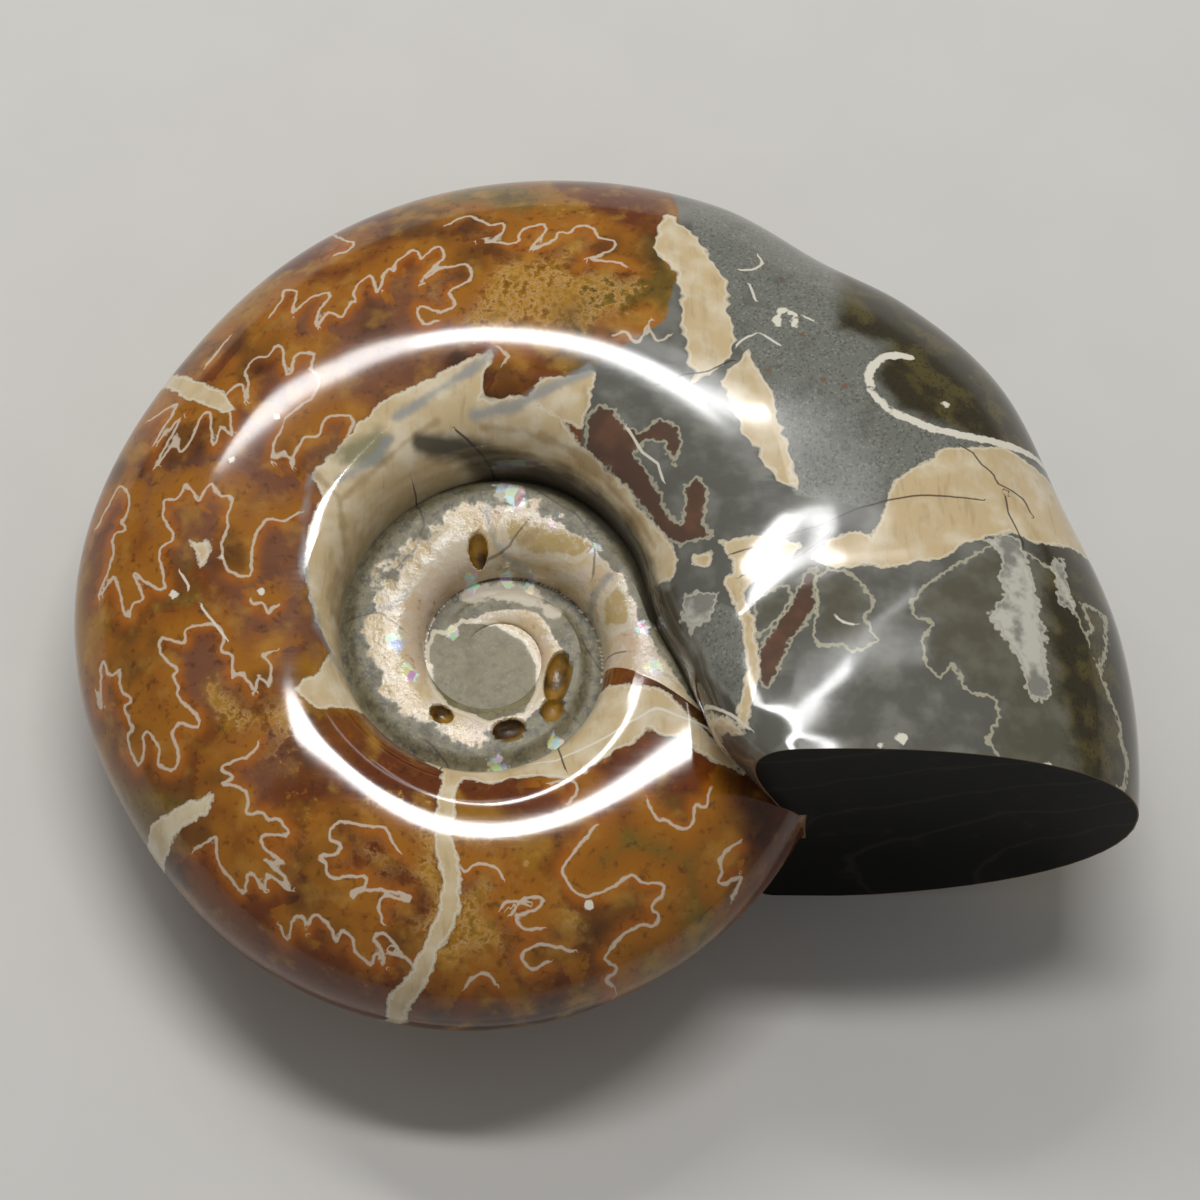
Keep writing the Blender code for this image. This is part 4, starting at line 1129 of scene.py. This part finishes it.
class AmmoniteLook(bpy.types.PropertyGroup):
    """Finish and colours of the fossil."""

    polish_roughness: bpy.props.FloatProperty(
        name="Polish roughness", default=0.09, min=0.02, max=1.0, subtype="FACTOR",
        description="Roughness of the lapped surface",
    )
    amber: colour_setting("Amber", "#764008", "Clear calcite of the chambers")
    gold: colour_setting("Gold", "#9A6A12", "Pale calcite near the rim")
    russet: colour_setting("Russet", "#642E08", "Iron-stained calcite")
    mauve: colour_setting("Mauve", "#7C5138", "Calcite over old nacre")
    olive: colour_setting("Olive", "#6F5A1E", "Greenish calcite")
    umber: colour_setting("Umber", "#2E1806", "Darkest calcite")
    crystal: colour_setting("Crystal", "#BC8A36", "Yellow crystal grains")
    lining: colour_setting("Lining", "#763A08", "Calcite in the folds of a suture line")
    lining_mauve: colour_setting("Mauve lining", "#7A4C32", "Calcite in the folds, over old nacre")
    glow: colour_setting("Glow", "#B0640E", "Edge of a suture line, where the light comes through")
    suture: colour_setting("Suture", "#D2C3AC", "Suture lines")
    fold_line: colour_setting("Fold line", "#B9B399", "Suture lines in the grey calcite")
    cream: colour_setting("Cream", "#E4DECC", "Thick pale shell")
    tan: colour_setting("Tan", "#CEB78D", "Thick shell walls")
    tan_dark: colour_setting("Dark tan", "#92764C", "Fibres in the shell walls")
    tan_pale: colour_setting("Pale tan", "#E4D8BD", "Worn shell walls")
    green_patch: colour_setting("Green patch", "#7E7B5A", "Greenish calcite in the wall of the umbilicus")
    blue_seam: colour_setting("Blue seam", "#8F9496", "Blue-grey seams in the umbilicus")
    # Painted shade: the dark colour laid along the crevice at the foot of the wall of the umbilicus.
    shaded_crevice: colour_setting("Crevice", "#373226", "Mud at the foot of the wall of the umbilicus")
    nacre: colour_setting("Nacre", "#D4C8B2", "Pearly shell of the inner whorls")
    nacre_pink: colour_setting("Pink nacre", "#CDB3A0", "Pink tinge of the nacre")
    nacre_fill: colour_setting("Nacre fill", "#B79E68", "Calcite that fills chambers of the inner whorls")
    core_mud: colour_setting("Core mud", "#8A7D50", "Olive mud of the first whorls")
    limestone: colour_setting("Limestone", "#76776E", "Mud that filled the body chamber")
    limestone_dark: colour_setting("Dark limestone", "#4C4B44", "Dark grains in the limestone")
    limestone_pale: colour_setting("Pale limestone", "#9C9B8E", "Pale grains in the limestone")
    rust: colour_setting("Rust", "#7A4A22", "Rusty spots")
    clear_grey: colour_setting("Clear grey", "#605F57", "Clear calcite near the saw cut")
    clear_pale: colour_setting("Pale clear grey", "#7B7A71", "Cloudy calcite near the saw cut")
    # Dark matrix on the wall by the umbilicus, darkened further as painted shade.
    shaded_dark_wall: colour_setting("Dark wall", "#4A463B", "Stained wall by the umbilicus")
    plum: colour_setting("Plum", "#5A4031", "Plum-coloured calcite")
    mud: colour_setting("Mud", "#342E18", "Dark iron-rich mud")
    mud_pale: colour_setting("Pale mud", "#544B24", "Olive iron-rich mud")
    spar: colour_setting("Spar", "#D2CEC0", "White calcite spar")
    channel: colour_setting("Channel", "#827B61", "Limestone in the umbilicus")
    pit: colour_setting("Chamber lining", "#9A7226", "Crystals that line the open chambers")
    pit_dark: colour_setting("Chamber floor", "#3A260E", "Bottom of the open chambers")
    crack: colour_setting("Crack", "#3A3128", "Healed hairline cracks")
    # Nearly black: dark calcite, with its shade and dark reflection painted into the colour.
    sawn: colour_setting("Sawn face", "#040404", "Sawn body chamber")
    sawn_ring: colour_setting("Sawn rings", "#2A2622", "Rings in the sawn body chamber")


class AmmoniteStage(bpy.types.PropertyGroup):
    """Camera, lamps and floor."""

    elevation: bpy.props.FloatProperty(
        name="Elevation", default=math.radians(68.2), subtype="ANGLE",
        description="Camera height over the floor",
    )
    azimuth: bpy.props.FloatProperty(
        name="Azimuth", default=math.radians(-98.3), subtype="ANGLE",
        description="Side the camera stands on",
    )
    roll: bpy.props.FloatProperty(
        name="Roll", default=math.radians(8.5), subtype="ANGLE",
        description="Turn of the camera about its axis",
    )
    distance: bpy.props.FloatProperty(
        name="Distance", default=0.29, unit="LENGTH", min=0.05, description="From the camera to the fossil"
    )
    lens: bpy.props.FloatProperty(
        name="Focal length", default=120.0, subtype="DISTANCE_CAMERA", description="Lens on a 36 mm sensor"
    )
    brightness: bpy.props.FloatProperty(
        name="Lamp brightness", default=27.0, min=0.0,
        description="Brightness of the lamps' faces, where 1 is white",
    )
    sky: bpy.props.FloatProperty(
        name="Room light", default=0.2, min=0.0, description="Strength of the even light of the room"
    )
    floor: colour_setting("Floor", "#D9D7D2", "Plain floor")


# ---------------------------------------------------------------- operators


def resting_turn():
    """The turn that lays the shell on its lower flank."""
    about_x = Matrix.Rotation(math.radians(REST_ABOUT_X), 4, "X")
    return about_x @ Matrix.Rotation(math.radians(-REST_ABOUT_Y), 4, "Y")


def fit_to_solid(bm, low, high):
    """Scales the shell by a hair to the solid's box, and wears flat the spots it stands on."""
    bmesh.ops.transform(bm, matrix=resting_turn(), verts=bm.verts)
    spots = np.array([v.co for v in bm.verts])
    own_low, own_high = Vector(spots.min(0)), Vector(spots.max(0))
    width = [(high[i] - low[i]) / (own_high[i] - own_low[i]) for i in (0, 1)]
    size = Vector((width[0], width[1], MM))
    middle = (own_low + own_high) / 2
    bmesh.ops.translate(bm, vec=(-middle.x, -middle.y, -own_high.z), verts=bm.verts)
    bmesh.ops.scale(bm, vec=size, verts=bm.verts)
    bmesh.ops.translate(bm, vec=((low.x + high.x) / 2, (low.y + high.y) / 2, high.z), verts=bm.verts)
    for vert in bm.verts:
        vert.co.z = max(vert.co.z, low.z)


def store_whorl_fields(mesh, turn, column):
    """How far past the start of the limestone channel a point is, as a share of the inner whorl's width."""
    starts = np.interp(turn, *zip(*CHANNEL_START))
    edge = np.where(turn < -1.0 + SAME_ROW, column / NEXT_SEAM - starts, 1.0 - starts)
    mesh.attributes.new("channel_edge", "FLOAT", "POINT").data.foreach_set("value", edge)


def layer_values(bm, name):
    """The values of a layer of the mesh, one for each vertex."""
    values = bm.verts.layers.float[name]
    return np.array([v[values] for v in bm.verts])


class FOSSIL_OT_shell(bpy.types.Operator):
    """Model the polished shell and paint its markings"""

    bl_idname = "fossil.shell"
    bl_label = "Polished shell"

    def execute(self, context):
        look = context.scene.ammonite_look
        bm = coiled_shell()
        turn, column = layer_values(bm, "turn"), layer_values(bm, "column")
        mesh = bpy.data.meshes.new("polished_shell")
        bm.to_mesh(mesh)
        paint_fields(mesh, turn)
        store_whorl_fields(mesh, turn, column)
        bm.free()
        bm = bmesh.new()
        bm.from_mesh(mesh)
        sink_chambers(bm)
        fit_to_solid(bm, *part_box("ammonite"))
        bm.to_mesh(mesh)
        bm.free()
        mesh.set_sharp_from_angle(angle=math.radians(SHARP_EDGE))
        shell = bpy.data.objects.new("polished_shell", mesh)
        context.scene.collection.objects.link(shell)
        for material in (polished_fossil(look), inner_whorls(look), sawn_face(look)):
            mesh.materials.append(material)
        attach(shell, "root")
        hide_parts("ammonite")
        return {"FINISHED"}


def floor_board(stage):
    """Matt painted board: pale, with the slight mottling of a rolled coat of paint."""
    material, tree, shader, mm = new_material("matt_painted_board", roughness=0.75, specular_ior_level=0.2)
    tone = add_node(tree, "TexNoise", {"Vector": mm, "Scale": 1.0 / 9.0})
    darker = [c * 0.98 for c in stage.floor[:3]] + [1.0]
    colour = lay_coats(tree, stage.floor, [(darker, tone, 0.3, 0.7, 1.0)])
    tree.links.new(colour, shader.inputs["Base Color"])
    return material


# Soft lamps: name, (tilt towards +X, tilt towards +Y) of both ends from straight over the shell, width,
# share of the full brightness.
LAMPS = [
    ("overhead", (-8.0, 14.5), (22.0, 12.5), 5.0, 1.0),
    ("behind_left", (-38.0, 41.0), (-21.0, 33.0), 3.5, 0.6),
    ("behind", (-21.0, 33.0), (1.0, 30.5), 3.3, 1.0),
    ("behind_right", (1.0, 31.0), (9.0, 35.0), 1.8, 0.8),
    ("far_right", (9.0, 35.0), (24.0, 42.5), 1.6, 0.15),
    ("low_panel", (-2.0, 35.5), (26.0, 35.5), 3.0, 0.1),
]
LAMP_DISTANCE = 0.6
CAMERA_TARGET = (0.0, -0.001, 0.013)
FLOOR_REACH = 1.5


def add_lamp(scene, name, start, end, width, brightness):
    """A long lamp that faces the fossil, between two directions from it."""
    ends = [Vector((math.tan(math.radians(x)), math.tan(math.radians(y)), 1.0)) for x, y in (start, end)]
    ends = [resting_turn().to_3x3() @ e.normalized() * LAMP_DISTANCE for e in ends]
    span, middle = ends[1] - ends[0], (ends[0] + ends[1]) / 2
    lamp = bpy.data.lights.new(name, "AREA")
    lamp.shape, lamp.size, lamp.size_y = "RECTANGLE", span.length, math.radians(width) * LAMP_DISTANCE
    lamp.energy = brightness * math.pi * lamp.size * lamp.size_y
    holder = bpy.data.objects.new(name, lamp)
    out, across = middle.normalized(), span.normalized()
    turn = Matrix((across, out.cross(across), out)).transposed()
    holder.matrix_world = Matrix.Translation(middle) @ turn.to_4x4()
    scene.collection.objects.link(holder)


class FOSSIL_OT_stage(bpy.types.Operator):
    """Set up the floor, the lamps and the camera"""

    bl_idname = "fossil.stage"
    bl_label = "Stage"

    def execute(self, context):
        scene, stage = context.scene, context.scene.ammonite_stage
        self.add_floor(scene, stage)
        self.add_camera(scene, stage)
        for name, start, end, width, share in LAMPS:
            add_lamp(scene, name, start, end, width, stage.brightness * share)
        world = scene.world or bpy.data.worlds.new("room")
        scene.world = world
        world.use_nodes = True
        background = world.node_tree.nodes["Background"]
        background.inputs["Color"].default_value = (1.0, 1.0, 1.0, 1.0)
        background.inputs["Strength"].default_value = stage.sky
        scene.view_settings.view_transform = "Standard"
        return {"FINISHED"}

    @staticmethod
    def add_floor(scene, stage):
        bm = bmesh.new()
        bmesh.ops.create_grid(bm, x_segments=1, y_segments=1, size=FLOOR_REACH)
        mesh = bpy.data.meshes.new("floor")
        bm.to_mesh(mesh)
        bm.free()
        mesh.materials.append(floor_board(stage))
        floor = bpy.data.objects.new("floor", mesh)
        scene.collection.objects.link(floor)
        floor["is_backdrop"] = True

    @staticmethod
    def add_camera(scene, stage):
        camera = bpy.data.cameras.new("camera")
        camera.sensor_width, camera.lens, camera.clip_start = 36.0, stage.lens, 0.01
        low, side = stage.elevation, stage.azimuth
        back = Vector((math.cos(low) * math.cos(side), math.cos(low) * math.sin(side), math.sin(low)))
        holder = bpy.data.objects.new("camera", camera)
        holder.location = Vector(CAMERA_TARGET) + back * stage.distance
        aim = (-back).to_track_quat("-Z", "Y") @ Quaternion((0.0, 0.0, 1.0), stage.roll)
        holder.rotation_euler = aim.to_euler()
        scene.collection.objects.link(holder)
        scene.camera = holder


class FOSSIL_PT_panel(bpy.types.Panel):
    """Sizes, colours and operators of the polished ammonite"""

    bl_label = "Polished ammonite"
    bl_idname = "FOSSIL_PT_panel"
    bl_space_type = "VIEW_3D"
    bl_region_type = "UI"
    bl_category = "Ammonite"

    def draw(self, context):
        for group in (context.scene.ammonite_look, context.scene.ammonite_stage):
            box = self.layout.box()
            for name in group.__annotations__:
                box.prop(group, name)
        self.layout.operator(FOSSIL_OT_shell.bl_idname)
        self.layout.operator(FOSSIL_OT_stage.bl_idname)


CLASSES = (AmmoniteLook, AmmoniteStage, FOSSIL_OT_shell, FOSSIL_OT_stage, FOSSIL_PT_panel)


def register():
    for cls in CLASSES:
        bpy.utils.register_class(cls)
    bpy.types.Scene.ammonite_look = bpy.props.PointerProperty(type=AmmoniteLook)
    bpy.types.Scene.ammonite_stage = bpy.props.PointerProperty(type=AmmoniteStage)


def unregister():
    del bpy.types.Scene.ammonite_stage
    del bpy.types.Scene.ammonite_look
    for cls in reversed(CLASSES):
        bpy.utils.unregister_class(cls)


def plain(box):
    """A pair of corners as plain lists."""
    return [[float(c) for c in corner] for corner in box]


def main():
    register()
    bpy.ops.fossil.shell()
    bpy.ops.fossil.stage()
    {"cad": plain(CAD_BOX), "visual": plain(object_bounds())}


if __name__ == "__main__":
    main()
